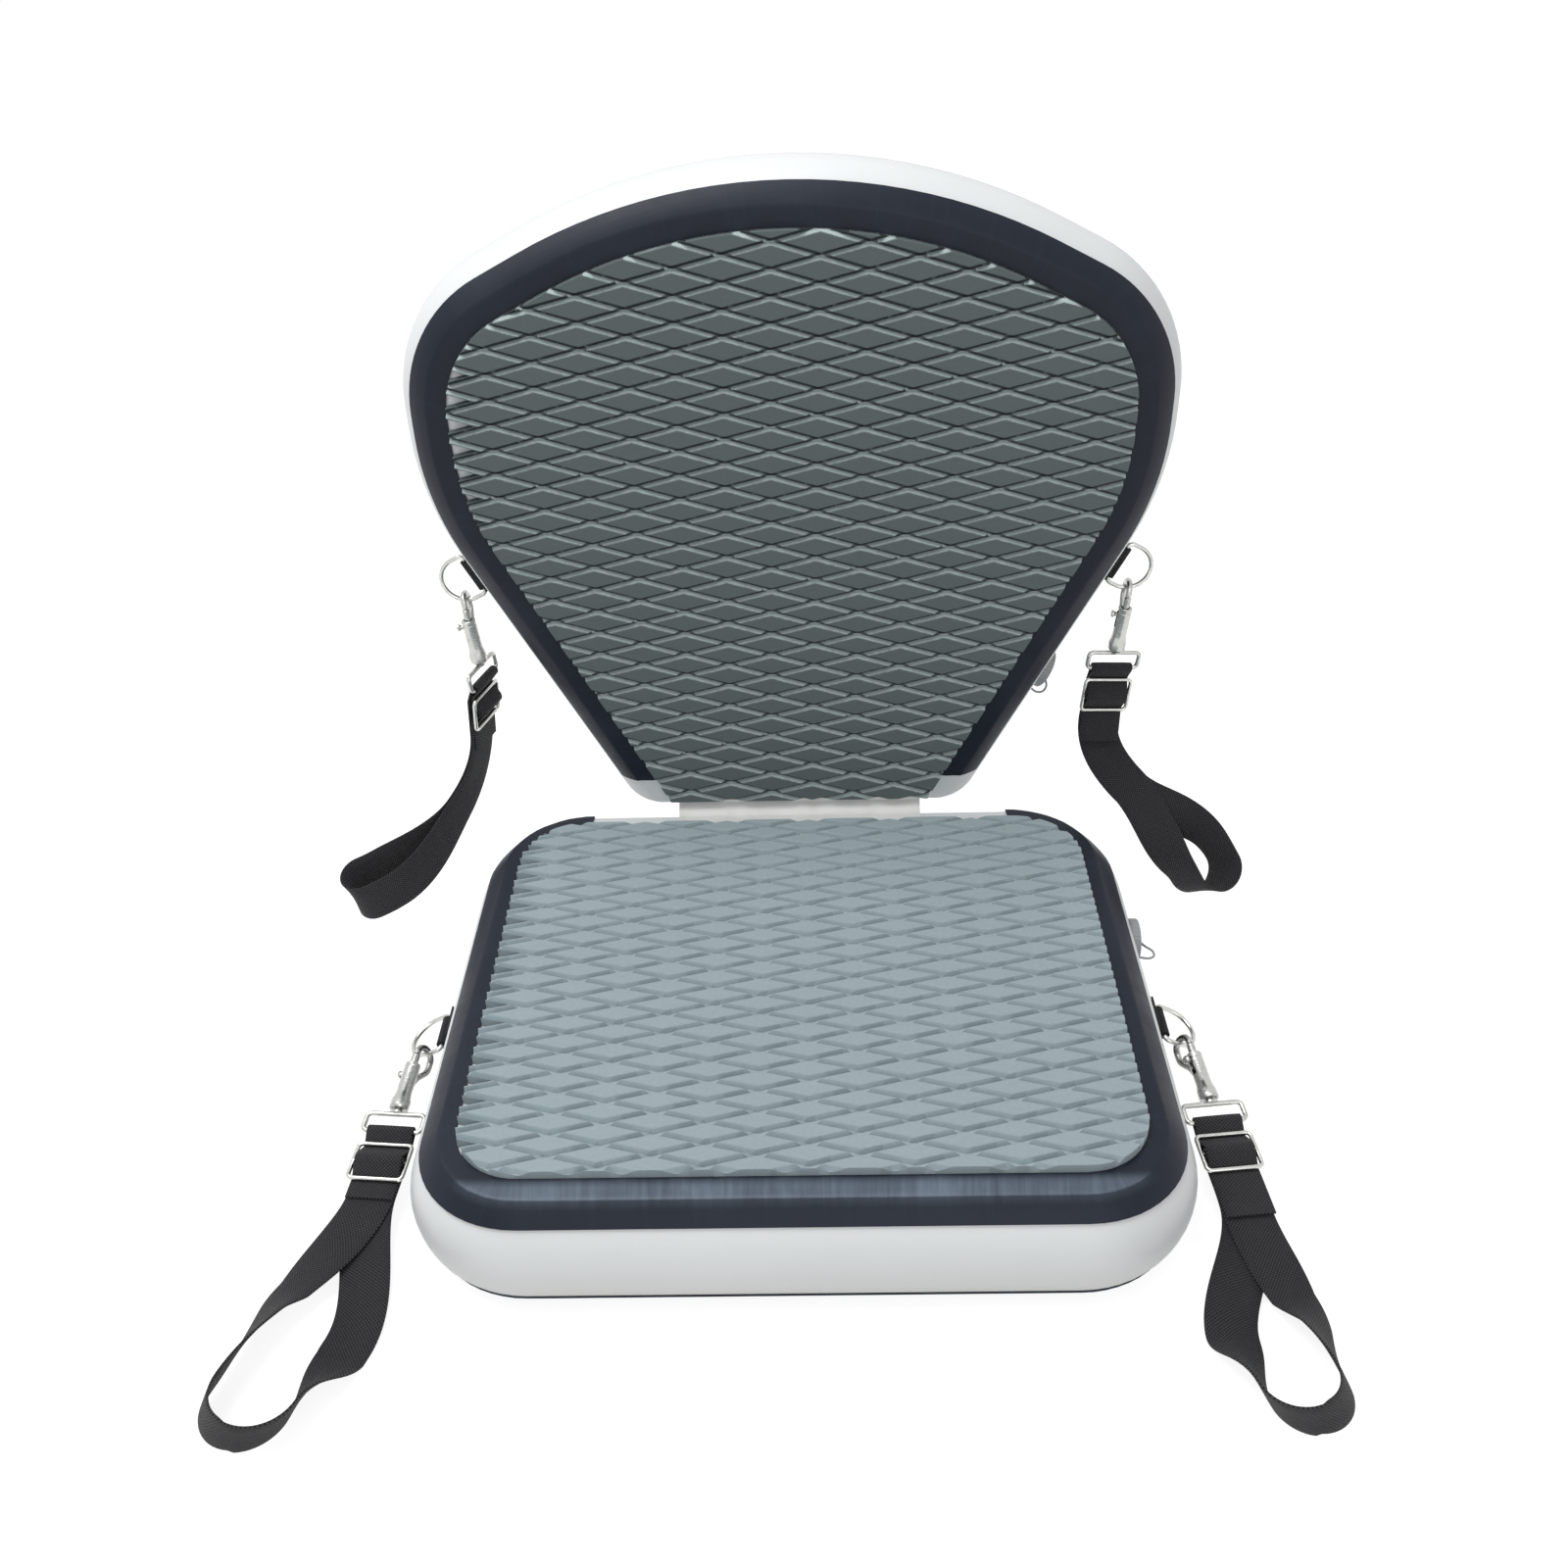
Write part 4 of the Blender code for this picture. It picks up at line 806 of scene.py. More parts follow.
@dataclass
class Pad:
    """One inflated pad: chamber, tapes and grooved foam, lying flat with its foam side up."""

    name: str
    body: str
    place: Matrix
    base: float
    thickness: float
    corners: list[tuple[float, float, float, int]]
    foam_insets: list[float]
    foam: Foam
    hinge_side: int
    tape_trim: float
    # How strongly the tape shows its painted sheen along the front edge.
    tape_sheen: float = 0.0
    bulge: float = 0.018
    hinge_bulge: float = 0.008
    foam_thickness: float = FOAM_THICKNESS
    groove_depth: float = 0.0027
    tape_thickness: float = 0.0008
    tape_lap: float = 0.012
    tape_reach: float = 0.34
    strip_width: float = 0.150
    strip_thickness: float = 0.0008
    strip_flange: float = 0.016
    run_length: float = 0.012
    bulges: list[float] = field(init=False)

    def __post_init__(self) -> None:
        """The bulge of each wall; the first is the hinge's."""
        self.bulges = [self.hinge_bulge] + [self.bulge] * (len(self.corners) - 1)

    def arcs(self, offsets: Sequence[float], heights: Sequence[float]) -> list[Ring]:
        """The outline moved out by an offset for each edge.

        Args:
            offsets: how far each edge moves out.
            heights: each edge's height.

        Returns:
            One list of points for each corner.
        """
        count = len(self.corners)
        lines = []
        for i, (x, y, _, _) in enumerate(self.corners):
            nx, ny, _, _ = self.corners[(i + 1) % count]
            along = Vector((nx - x, ny - y)).normalized()
            out = Vector((along.y, -along.x))
            lines.append((Vector((x, y)) + out * offsets[i], along, out))
        found = []
        for i, (_, _, radius, steps) in enumerate(self.corners):
            p, a, a_out = lines[i - 1]
            q, b, b_out = lines[i]
            cross = a.x * b.y - a.y * b.x
            turn = math.asin(max(-1.0, min(1.0, cross)))
            gap = q - p
            meet = p + a * ((gap.x * b.y - gap.y * b.x) / cross)
            round_by = max(radius + (offsets[i - 1] + offsets[i]) / 2, 0.0005)
            centre = meet - a * (round_by * math.tan(turn / 2)) - a_out * round_by
            start = math.atan2(a_out.y, a_out.x)
            ring = []
            for k in range(steps + 1):
                share = k / steps
                angle = start + turn * share
                level = heights[i - 1] * (1 - share) + heights[i] * share
                ring.append(Vector((centre.x + round_by * math.cos(angle),
                                    centre.y + round_by * math.sin(angle), level)))
            found.append(ring)
        return found

    def radius(self, edge: int) -> float:
        """The radius of a wall's bulge."""
        half = self.thickness / 2
        return (half ** 2 + self.bulges[edge] ** 2) / (2 * self.bulges[edge])

    def face(self, insets: Sequence[float], height: float) -> list[Ring]:
        """A level outline set in from the crease."""
        return self.arcs([-inset for inset in insets], [height] * len(insets))

    def wall(self, share: float, lift: float = 0.0, level: float | None = None) -> list[Ring]:
        """An outline on the wall, from -1 at the far crease to 1 at the foam's."""
        offsets, heights = [], []
        for edge, bulge in enumerate(self.bulges):
            radius = self.radius(edge)
            angle = math.asin(min(1.0, self.thickness / 2 / radius)) * share
            offsets.append((radius + lift) * math.cos(angle) - (radius - bulge))
            heights.append(self.base + self.thickness / 2 + (radius + lift) * math.sin(angle))
        if level is not None:
            heights = [level] * len(heights)
        return self.arcs(offsets, heights)

    def chamber(self) -> bpy.types.Mesh:
        """The inflated skin: flat faces, bulged walls and a rebate under the far tape."""
        sides = len(self.corners)
        sunk = self.base + GAP + self.tape_thickness
        counts = self.run_counts()
        rings = [self.ring(self.face([self.tape_lap + 2 * GAP] * sides, self.base), counts),
                 self.ring(self.face([self.tape_lap + GAP] * sides, sunk), counts),
                 self.ring(self.wall(-1, level=sunk), counts)]
        steps = 14
        for k in range(1 - steps, steps):
            rings.append(self.ring(self.wall(k / steps), counts))
        rings.append(self.ring(self.wall(1), counts))
        return loft(rings, f"{self.name}_chamber")

    def run_counts(self) -> list[int]:
        """How many lengths each straight run is cut to."""
        arcs = self.wall(0)
        count = len(arcs)
        return [max(1, round((arcs[k][-1] - arcs[(k + 1) % count][0]).length / self.run_length))
                for k in range(count)]

    @staticmethod
    def ring(arcs: list[Ring], counts: Sequence[int]) -> Ring:
        """The points of an outline, its straight runs cut by the counts."""
        found: Ring = []
        for k, (points, count) in enumerate(zip(arcs, counts)):
            found += points
            start, end = points[-1], arcs[(k + 1) % len(arcs)][0]
            found += [start.lerp(end, i / count) for i in range(1, count)]
        return found

    def open_ring(self, arcs: list[Ring], counts: Sequence[int]) -> Ring:
        """The outline without its hinge edge, each end drawn back by the trim."""
        turned_arcs = arcs[1:] + arcs[:1]
        turned_counts = list(counts[1:]) + [1]
        found = self.ring(turned_arcs, turned_counts)
        if self.tape_trim == 0:
            return found
        first, last = arcs[1][-1], arcs[0][0]
        start = first + (arcs[2][0] - first).normalized() * self.tape_trim
        end = last + (arcs[-1][-1] - last).normalized() * self.tape_trim
        run = (len(arcs[1]), len(found) - len(arcs[0]))
        skipped = math.ceil(self.tape_trim / self.run_length)
        return [start] + found[run[0] + skipped:run[1] - skipped] + [end]

    def tape(self, edge: Edge, name: str) -> bpy.types.Mesh:
        """Seam tape over a crease, with small pulls that grow at the corners.

        Args:
            edge: which of the pad's two edges it covers.
            name: the mesh's name.

        Returns:
            The tape's mesh.
        """
        side = edge.value
        upper = side > 0
        level = self.base + self.thickness if upper else self.base + GAP + self.tape_thickness
        insets = [i - GAP for i in self.foam_insets] if upper else [self.tape_lap] * len(self.corners)
        counts = self.run_counts()
        shape: Callable[[list[Ring]], Ring] = (
            (lambda arcs: self.open_ring(arcs, counts)) if upper
            else (lambda arcs: self.ring(arcs, counts)))
        stack: list[list[Ring]] = []
        for lift in (GAP, GAP + self.tape_thickness):
            height = level + side * lift
            rows = [shape(self.face([i * share for i in insets], height))
                    for share in (1.0, 0.66, 0.33, 0.08)]
            rows.append(shape(self.wall(side, lift * 0.9, height - side * lift * 0.1)))
            rows += [shape(self.wall(side * (1 - self.tape_reach * share), lift))
                     for share in (0.06, 0.25, 0.5, 0.75, 0.97, 1.0)]
            stack.append(rows)
        rings = stack[0] + stack[1][::-1]
        runs = self.lengths(stack[1][0])
        steps = len(stack[0])
        lies: list[list[Vector]] = []
        for k, row in enumerate(rings):
            place = k if k < steps else 2 * steps - 1 - k
            lies.append([Vector((run, place * 0.0025, 0)) for run in runs])
        for k in range(steps, 2 * steps):
            for i, point in enumerate(rings[k]):
                rings[k][i] = point + self.pull(rings[k], i, runs[i], lies[k][i].y)
        return strip_mesh(rings, lies, name, around=not upper, onward=True)

    @staticmethod
    def lengths(row: Ring) -> list[float]:
        """The distance along a row to each of its points."""
        found = [0.0]
        for near, far in zip(row, row[1:]):
            found.append(found[-1] + (far - near).length)
        return found

    def pull(self, row: Ring, i: int, run: float, across: float) -> Vector:
        """How far a point of the tape is pulled up, more where the tape turns."""
        before, here, after = row[i - 1], row[i], row[(i + 1) % len(row)]
        first, second = here - before, after - here
        if first.length < 1e-6 or second.length < 1e-6:
            return Vector()
        bend = first.angle(second, 0.0) / max(first.length, 0.002)
        amount = 0.00006 + 0.00022 * min(1.0, bend / 18.0)
        wave = noise.noise(Vector((run * 190.0, across * 45.0, self.thickness)))
        return Vector((0, 0, 1)) * (amount * (wave + 0.4))

    def foam_mesh(self) -> bpy.types.Mesh:
        """The foam: blocks between two families of grooves, cut to the pad's outline."""
        low = self.base + self.thickness + GAP
        top = low + self.foam_thickness
        outline = self.ring(self.face(self.foam_insets, low), self.run_counts())
        lattice = Lattice(self.foam.pattern, self.foam.cell_width, self.foam.cell_height)
        side = lattice.pitch / math.sin(2 * lattice.slope)
        marks = [(d / lattice.pitch, depth) for d, depth in GROOVE_PROFILE]
        marks += [(1 - share, depth) for share, depth in reversed(marks[1:])]
        low_x, high_x = min(p.x for p in outline) - 0.004, max(p.x for p in outline) + 0.004
        low_y, high_y = min(p.y for p in outline) - 0.004, max(p.y for p in outline) + 0.004
        reach = math.ceil(max(high_x - low_x, high_y - low_y) / lattice.pitch) + 4
        centre = Vector((self.foam.pattern[0], self.foam.pattern[1]))
        stations = [(cell + share, depth) for cell in range(-reach, reach)
                    for share, depth in marks]
        bm = bmesh.new()
        known: dict[tuple[int, int], bmesh.types.BMVert] = {}

        def spot(i: int, j: int) -> Vector:
            """The place of a station pair."""
            (a, da), (b, db) = stations[i], stations[j]
            flat = centre + (lattice.rising * a + lattice.falling * b) * side
            return Vector((flat.x, flat.y, top - self.groove_depth * max(da, db)))

        def vert(i: int, j: int) -> bmesh.types.BMVert:
            """The vertex of a station pair, made once."""
            if (i, j) not in known:
                known[i, j] = bm.verts.new(spot(i, j))
            return known[i, j]

        middle = Vector(((low_x + high_x) / 2, (low_y + high_y) / 2))
        spread = Vector(((high_x - low_x) / 2 + 0.006, (high_y - low_y) / 2 + 0.006))
        for i in range(len(stations) - 1):
            for j in range(len(stations) - 1):
                here = spot(i, j)
                if abs(here.x - middle.x) > spread.x or abs(here.y - middle.y) > spread.y:
                    continue
                bm.faces.new((vert(i, j), vert(i + 1, j), vert(i + 1, j + 1), vert(i, j + 1)))
        whole = bmesh.ops.extrude_face_region(bm, geom=bm.faces[:])
        for item in whole["geom"]:
            if isinstance(item, bmesh.types.BMVert):
                item.co.z = low - 0.002
        blocks = mesh_of(bm, f"{self.name}_blocks")
        prism = loft([outline, [p + Vector((0, 0, 0.02)) for p in outline]], "prism")
        edge = min(p.y for p in outline) if self.hinge_side < 0 else max(p.y for p in outline)
        deep = self.strip_thickness + GAP
        rebate = box_mesh(Vector((0, edge, low + deep / 2 - GAP)),
                          Vector((self.strip_width + 4 * GAP, 2 * (self.strip_flange + GAP),
                                  deep + 2 * GAP)), "rebate")
        return combined(prism, ((blocks, "INTERSECT"), (rebate, "DIFFERENCE")),
                        f"{self.name}_foam")

    def build(self) -> None:
        """Make and dress the chamber, its tapes and its foam."""
        skin, tape = Skin(), Tape(name=f"{self.name}_tape", sheen_share=self.tape_sheen)
        far = "seat_bottom_tape" if self.name == "seat" else "back_rear_tape"
        near = "seat_top_tape" if self.name == "seat" else "back_front_tape"
        shell = dress(self.chamber(), f"{self.name}_chamber", self.body, skin, self.place)
        dress(self.tape(Edge.FOAM_SIDE, near), near, self.body, tape, self.place)
        dress(self.tape(Edge.FAR_SIDE, far), far, self.body, tape, self.place)
        pad = dress(self.foam_mesh(), f"{self.name}_foam_pad", self.body, self.foam, self.place,
                    sharp=22.0)

    def wall_point(self, edge: int, along: float) -> tuple[Vector, Vector, Vector]:
        """The middle of a wall, its direction along the edge and its outward direction."""
        x, y, _, _ = self.corners[edge]
        nx, ny, _, _ = self.corners[(edge + 1) % len(self.corners)]
        way = Vector((nx - x, ny - y, 0)).normalized()
        out = Vector((way.y, -way.x, 0))
        height = Vector((0, 0, self.base + self.thickness / 2))
        return Vector((x, y, 0)) + way * along + out * self.bulges[edge] + height, way, out


@dataclass
class HingeStrip:
    """The white cloth that joins the two pads."""

    seat: Pad
    back: Pad
    axis_y: float
    gap: float

    def build(self) -> None:
        """Make the strip, fixed in its resting shape from the seat round to the backrest."""
        mid = GAP + self.seat.strip_thickness / 2
        rear = self.axis_y - self.gap
        inset = self.seat.foam_insets[0]
        foot = -(GAP + self.seat.foam_thickness) + mid
        face = self.seat.thickness + mid
        top = self.back.foam_insets[0] + self.gap + self.seat.strip_flange - GAP
        corners = [Vector((0, rear - inset - self.seat.strip_flange + GAP, face)),
                   Vector((0, rear - self.gap, face)),
                   self.back.place @ Vector((0, self.gap, foot)),
                   self.back.place @ Vector((0, top, foot))]
        path = [corners[0], corners[0].lerp(corners[1], 0.6)]
        turn_in = corners[1].lerp(corners[2], 0.5) + Vector((0, -0.0008, -0.0004))
        for k in range(9):
            t = k / 8
            path.append(corners[1] * (1 - t) ** 2 + turn_in * (2 * t * (1 - t))
                        + corners[2] * t ** 2)
        path += [corners[2].lerp(corners[3], 0.4), corners[3]]
        half = self.seat.strip_width / 2
        thick = self.seat.strip_thickness / 2
        sections, lies = [], []
        run = 0.0
        for k, point in enumerate(path):
            before, after = path[max(k - 1, 0)], path[min(k + 1, len(path) - 1)]
            way = (after - before).normalized()
            out = Vector((1, 0, 0)).cross(way)
            run += (point - before).length
            upper = [point + Vector((x * half, 0, 0)) + out * thick for x in (-1, -0.5, 0, 0.5, 1)]
            lower = [point + Vector((x * half, 0, 0)) - out * thick for x in (1, 0.5, 0, -0.5, -1)]
            sections.append(upper + lower)
            lies.append([Vector((run, p.x, 0)) for p in upper + lower])
        mesh = strip_mesh(sections, lies, "hinge_strip", around=True, onward=False)
        blend = ("seat", "backrest", corners[1], corners[2])
        piece = dress(mesh, "hinge_strip", blend, Cloth())
        2 * half


@dataclass
class Valve:
    """A screw valve in a pad's wall."""

    pad: Pad
    edge: int
    along: float
    flange: float = 0.0175
    flange_thickness: float = 0.0025
    body: float = 0.0105
    body_depth: float = 0.012
    bore: float = 0.0075
    cap: float = 0.0125
    cap_height: float = 0.0055
    grips: int = 10
    cord: float = 0.0007
    lip: float = 0.002

    def build(self) -> None:
        """Make and dress the body, cap and tether."""
        name = self.pad.name
        spot, way, out = self.pad.wall_point(self.edge, self.along)
        sunk = self.flange ** 2 / (2 * self.pad.radius(self.edge))
        turn = Matrix((way, out.cross(way), out)).transposed().to_4x4()
        place = self.pad.place @ Matrix.Translation(spot - out * sunk) @ turn
        plastic = Plastic()
        floor = -self.body_depth + 0.003
        rim = 0.0006
        body = [(0, floor), (self.bore, floor), (self.bore, self.lip), (self.body, self.lip),
                (self.body + 0.002, rim / 2), (self.flange - 0.003, rim / 2),
                (self.flange - rim, 0), (self.flange, -rim),
                (self.flange, -self.flange_thickness), (self.body, -self.flange_thickness),
                (self.body, -self.body_depth), (0, -self.body_depth)]
        dress(turned(body, f"{name}_valve_body"), f"{name}_valve_body", self.pad.body, plastic, place)
        dress(self.cap_mesh(name), f"{name}_valve_cap", f"{name}_cap", plastic, place)
        reach = self.flange - 0.0022
        tall = self.lip + GAP + self.cap_height + GAP + self.cord
        route = [Vector((-reach, 0, GAP + self.cord)), Vector((-reach - 0.0005, 0, 0.006)),
                 Vector((-reach - 0.0015, 0, 0.011)), Vector((-reach + 0.0005, 0, 0.0145)),
                 Vector((-reach + 0.005, 0, 0.0145)), Vector((-0.006, 0, 0.011)),
                 Vector((-0.002, 0, tall)), Vector((0.002, 0, tall))]
        mesh = wire(rounded_path(route, 5), self.cord, f"{name}_valve_tether")
        dress(mesh, f"{name}_valve_tether", self.pad.body, plastic, place)

    def cap_mesh(self, name: str) -> bpy.types.Mesh:
        """The cap: a ribbed edge and two grips either side of a bar."""
        rest = self.lip + GAP
        plug = self.bore - GAP
        top = rest + self.cap_height
        soft = 0.0008
        lid = [(0, top), (self.cap - 2 * soft, top), (self.cap - 0.6 * soft, top - 0.4 * soft),
               (self.cap, top - soft), (self.cap, rest + 0.0004), (self.cap - 0.0004, rest),
               (plug, rest), (plug, rest - 0.006), (0, rest - 0.006)]
        base = turned(lid, f"{name}_cap_blank", 60)
        cuts = bmesh.new()
        for k in range(2):
            swing = Matrix.Rotation(math.pi * (k + 0.5), 4, "Z")
            shift = Matrix.Translation((self.cap * 0.62, 0, top))
            size = Matrix.Diagonal((self.cap * 0.5, 0.009, 0.004, 1))
            bmesh.ops.create_cube(cuts, size=1, matrix=swing @ shift @ size)
        ribs = bmesh.new()
        for k in range(self.grips * 3):
            angle = 2 * math.pi * k / (self.grips * 3)
            shift = Matrix.Translation((self.cap + 0.0003, 0, rest + 0.0026))
            matrix = Matrix.Rotation(angle, 4, "Z") @ shift
            bmesh.ops.create_cone(ribs, cap_ends=True, segments=8, radius1=0.0006, radius2=0.0006,
                                  depth=0.0048, matrix=matrix)
        tools = ((mesh_of(cuts, "grips"), "DIFFERENCE"), (mesh_of(ribs, "ribs"), "DIFFERENCE"))
        return combined(base, tools, f"{name}_valve_cap")


def rounded_path(points: Sequence[Vector], cuts: int) -> list[Vector]:
    """A smooth path through points."""
    found = []
    for k in range(len(points) - 1):
        before, here = points[max(k - 1, 0)], points[k]
        after, later = points[k + 1], points[min(k + 2, len(points) - 1)]
        for i in range(cuts):
            t = i / cuts
            found.append(0.5 * ((2 * here) + (after - before) * t
                                + (2 * before - 5 * here + 4 * after - later) * t ** 2
                                + (3 * here - before - 3 * after + later) * t ** 3))
    return found + [points[-1]]


@dataclass(frozen=True)
class Lie:
    """How one strap lies: the directions of its hook and run, and the shape of its loop."""

    bow: float
    snap_way: tuple[float, float, float]
    width: tuple[float, float, float]
    strap_way: tuple[float, float, float]
    end: tuple[float, float, float]
    end_way: tuple[float, float, float]
    side: int
    fan: float
    radius: float
    split: float
    full: float
    roll: float
    lead: float
    lag: float
    tail: float
    lift: float = 0.0
    face: int = 1


@dataclass
class Strap:
    """A tab, ring, snap hook, slider and webbing loop on one wall of a pad."""

    name: str
    pad: Pad
    edge: int
    along: float
    drop: float
    lie: Lie
    tab_width: float = 0.020
    tab_thickness: float = 0.0012
    tab_reach: float = 0.010
    ring_wire: float = 0.0014
    ring_radius: float = 0.0135
    ring_straight: float = 0.007
    eye_wire: float = 0.0014
    eye_inside: float = 0.0286
    eye_height: float = 0.0105
    stud: float = 0.0018
    stud_head: float = 0.0030
    stud_head_height: float = 0.0020
    foot: float = 0.0130
    foot_radius: float = 0.0052
    foot_wall: float = 0.003
    barrel: float = 0.0042
    barrel_bore: float = 0.0027
    barrel_top: float = 0.0420
    hook_wire: float = 0.0019
    hook_radius: float = 0.0056
    hook_centre: float = 0.0505
    hook_mouth: float = 0.0015
    bolt: float = 0.0022
    bolt_length: float = 0.0150
    bolt_travel: float = 0.0060
    knob: float = 0.0022
    knob_reach: float = 0.0078
    knob_stem: float = 0.0011
    web_width: float = 0.025
    web_thickness: float = 0.0014
    slider_wire: float = 0.0012
    slider_drop: float = 0.0085
    slider_pitch: float = 0.0105

    @property
    def stack(self) -> float:
        """The pitch of two layers of webbing."""
        return self.web_thickness + GAP

    @property
    def stand(self) -> float:
        """How far the ring's bar stands off the wall."""
        return GAP + self.tab_thickness + self.ring_wire + GAP + self.tab_thickness * 0.5

    @property
    def bolt_top(self) -> float:
        """The closed bolt's tip."""
        return self.hook_centre - self.hook_mouth - GAP

    @property
    def knob_height(self) -> float:
        """The middle of the thumb knob."""
        return self.bolt_top - self.bolt_length + 0.0035

    def build(self) -> None:
        """Make and dress every piece of the strap."""
        spot, way, out = self.pad.wall_point(self.edge, self.along)
        level = self.pad.place.to_3x3()
        spot, way, out = self.pad.place @ spot, level @ way, level @ out
        if way.z + way.y < 0:
            way = -way
        weave = Weave()
        plated = Metal("nickel_wire", (0.62, 0.62, 0.60), 0.16, 0.15)
        cast = Metal("nickel_casting", (0.55, 0.55, 0.53), 0.22, 0.8)
        tab = axes(spot, way, out)
        dress(self.tab_mesh(), f"{self.name}_ring_tab", self.pad.body, weave, tab)
        bar = spot + out * self.stand
        down = Vector((0, 0, -1))
        fall = (down - way * down.dot(way) - out * down.dot(out)).normalized()
        hang = out * math.cos(self.drop) + fall * math.sin(self.drop)
        ring = axes(bar, way, -hang)
        dress(self.ring_mesh(), f"{self.name}_d_ring", f"{self.name}_ring", plated, ring)
        bow = self.lie.bow
        held = ring @ Vector((self.ring_radius * math.cos(bow), 0,
                              -self.ring_straight + self.ring_radius * math.sin(bow)))
        tangent = ring.to_3x3() @ Vector((-math.sin(bow), 0, math.cos(bow)))
        up = Vector(self.lie.snap_way).normalized()
        snap = axes(Vector(), tangent.cross(up) * self.lie.face, up)
        rest = self.hook_centre + self.hook_radius - self.hook_wire - self.ring_wire - GAP
        snap.translation = held - snap.to_3x3() @ Vector((-self.hook_radius, 0, rest))
        clip = f"{self.name}_clip"
        dress(self.snap_mesh(), f"{self.name}_snap_body", clip, cast, snap)
        dress(self.bolt_mesh(), f"{self.name}_snap_bolt", f"{self.name}_bolt", cast, snap)
        origin = snap.translation.copy()
        eye = axes(origin, Vector(self.lie.width), up)
        body = f"{self.name}_strap"
        dress(self.eye_mesh(), f"{self.name}_swivel_eye", body, cast, eye)
        width = eye.col[0].xyz
        lie = Vector(self.lie.strap_way).normalized()
        run = axes(origin, width, lie - width * lie.dot(width))
        dress(self.slider_mesh(), f"{self.name}_slider", body, plated, run)
        mesh, foot = self.webbing_mesh(run)
        blend = (body, clip, foot, Vector(self.lie.end))
        dress(mesh, f"{self.name}_webbing", blend, weave, sharp=50.0)

    def tab_mesh(self) -> bpy.types.Mesh:
        """The tab: a flange glued on the wall and a knuckle round the ring's bar."""
        radius = self.pad.radius(self.edge)
        inner = radius + GAP
        outer = inner + self.tab_thickness
        swing = math.degrees(self.tab_reach / radius)
        profile = (arc((0, 0), inner, -swing, swing, 12) + arc((0, 0), outer, swing, -swing, 12))
        half = self.tab_width / 2
        rings, lies = [], []
        for k in range(9):
            x = -half + self.tab_width * k / 8
            rings.append([Vector((x, v, u - radius)) for u, v in profile])
            lies.append([Vector((v, x, 0)) for _, v in profile])
        base = strip_mesh(rings, lies, f"{self.name}_tab", around=True, onward=False)
        turn = Matrix.Translation((0, 0, self.stand)) @ Matrix.Rotation(math.pi / 2, 4, "Y")
        tools = []
        for size, length, operation in (
                (self.ring_wire + GAP + self.tab_thickness, self.tab_width, "UNION"),
                (self.ring_wire + GAP, 2 * self.tab_width, "DIFFERENCE")):
            bm = bmesh.new()
            bmesh.ops.create_cone(bm, cap_ends=True, segments=32, radius1=size, radius2=size,
                                  depth=length, matrix=turn)
            tools.append((mesh_of(bm, "knuckle"), operation))
        return combined(base, tools, f"{self.name}_ring_tab")

    def ring_mesh(self) -> bpy.types.Mesh:
        """The D ring: a bow, its straight sides and a bar with rounded corners."""
        corner = 0.003
        bow = arc((0, -self.ring_straight), self.ring_radius, 180, 360, 40)
        bar = (arc((self.ring_radius - corner, -corner), corner, 0, 90, 8)
               + arc((-self.ring_radius + corner, -corner), corner, 90, 180, 8))
        points = [Vector((u, 0, v)) for u, v in bow + bar]
        return wire(points, self.ring_wire, f"{self.name}_d_ring", closed=True)

    def snap_mesh(self) -> bpy.types.Mesh:
        """The snap hook: a turned foot and barrel, its thumb slot and its hook."""
        low = self.foot + self.foot_wall
        high = low + self.stud_head_height + 3 * GAP
        floor = high + 0.0025
        soft = 0.0004
        profile = [(0, floor), (self.barrel_bore, floor), (self.barrel_bore, self.barrel_top),
                   (self.barrel - soft, self.barrel_top), (self.barrel, self.barrel_top - soft),
                   (self.barrel, self.barrel_top - 0.002), (self.barrel - 0.0003, self.barrel_top - 0.0024),
                   (self.barrel - 0.0003, self.barrel_top - 0.0032),
                   (self.barrel, self.barrel_top - 0.0036), (self.barrel, floor + 0.0022),
                   (self.foot_radius - 0.0004, high + 0.0008), (self.foot_radius, high - 0.0004),
                   (self.foot_radius, self.foot + 0.001), (self.foot_radius - 0.0008, self.foot),
                   (self.stud + GAP, self.foot), (self.stud + GAP, low),
                   (self.stud_head + GAP, low), (self.stud_head + GAP, high), (0, high)]
        base = turned(profile, f"{self.name}_snap", 36)
        r = self.hook_radius
        arm = rounded_path([Vector((-self.barrel * 0.83, 0, self.barrel_top - 0.010)),
                            Vector((-self.barrel * 1.35, 0, self.barrel_top - 0.005)),
                            Vector((-2 * r + 0.0005, 0, self.barrel_top + 0.002)),
                            Vector((-2 * r, 0, self.hook_centre))], 8)
        curl = [Vector((u, 0, v)) for u, v in arc((-r, self.hook_centre), r, 180, 0, 24)]
        hook = wire(arm[:-1] + curl + [Vector((0, 0, self.hook_centre - self.hook_mouth))],
                    self.hook_wire, "hook")
        bottom = self.knob_height - self.bolt_travel - self.knob - GAP
        top = self.knob_height + self.knob + GAP
        slot = box_mesh(Vector((0, -self.barrel, (bottom + top) / 2)),
                        Vector((2 * self.knob_stem + 2 * GAP, 2 * self.barrel, top - bottom)), "slot")
        clear, mouth = self.barrel_bore - GAP / 5, self.barrel_top + 2 * GAP
        bore = turned([(0, mouth), (clear, mouth), (clear, floor + 2 * GAP), (0, floor + 2 * GAP)],
                      "bore", 36)
        tools = ((hook, "UNION"), (bore, "DIFFERENCE"), (slot, "DIFFERENCE"))
        return combined(base, tools, f"{self.name}_snap_body")

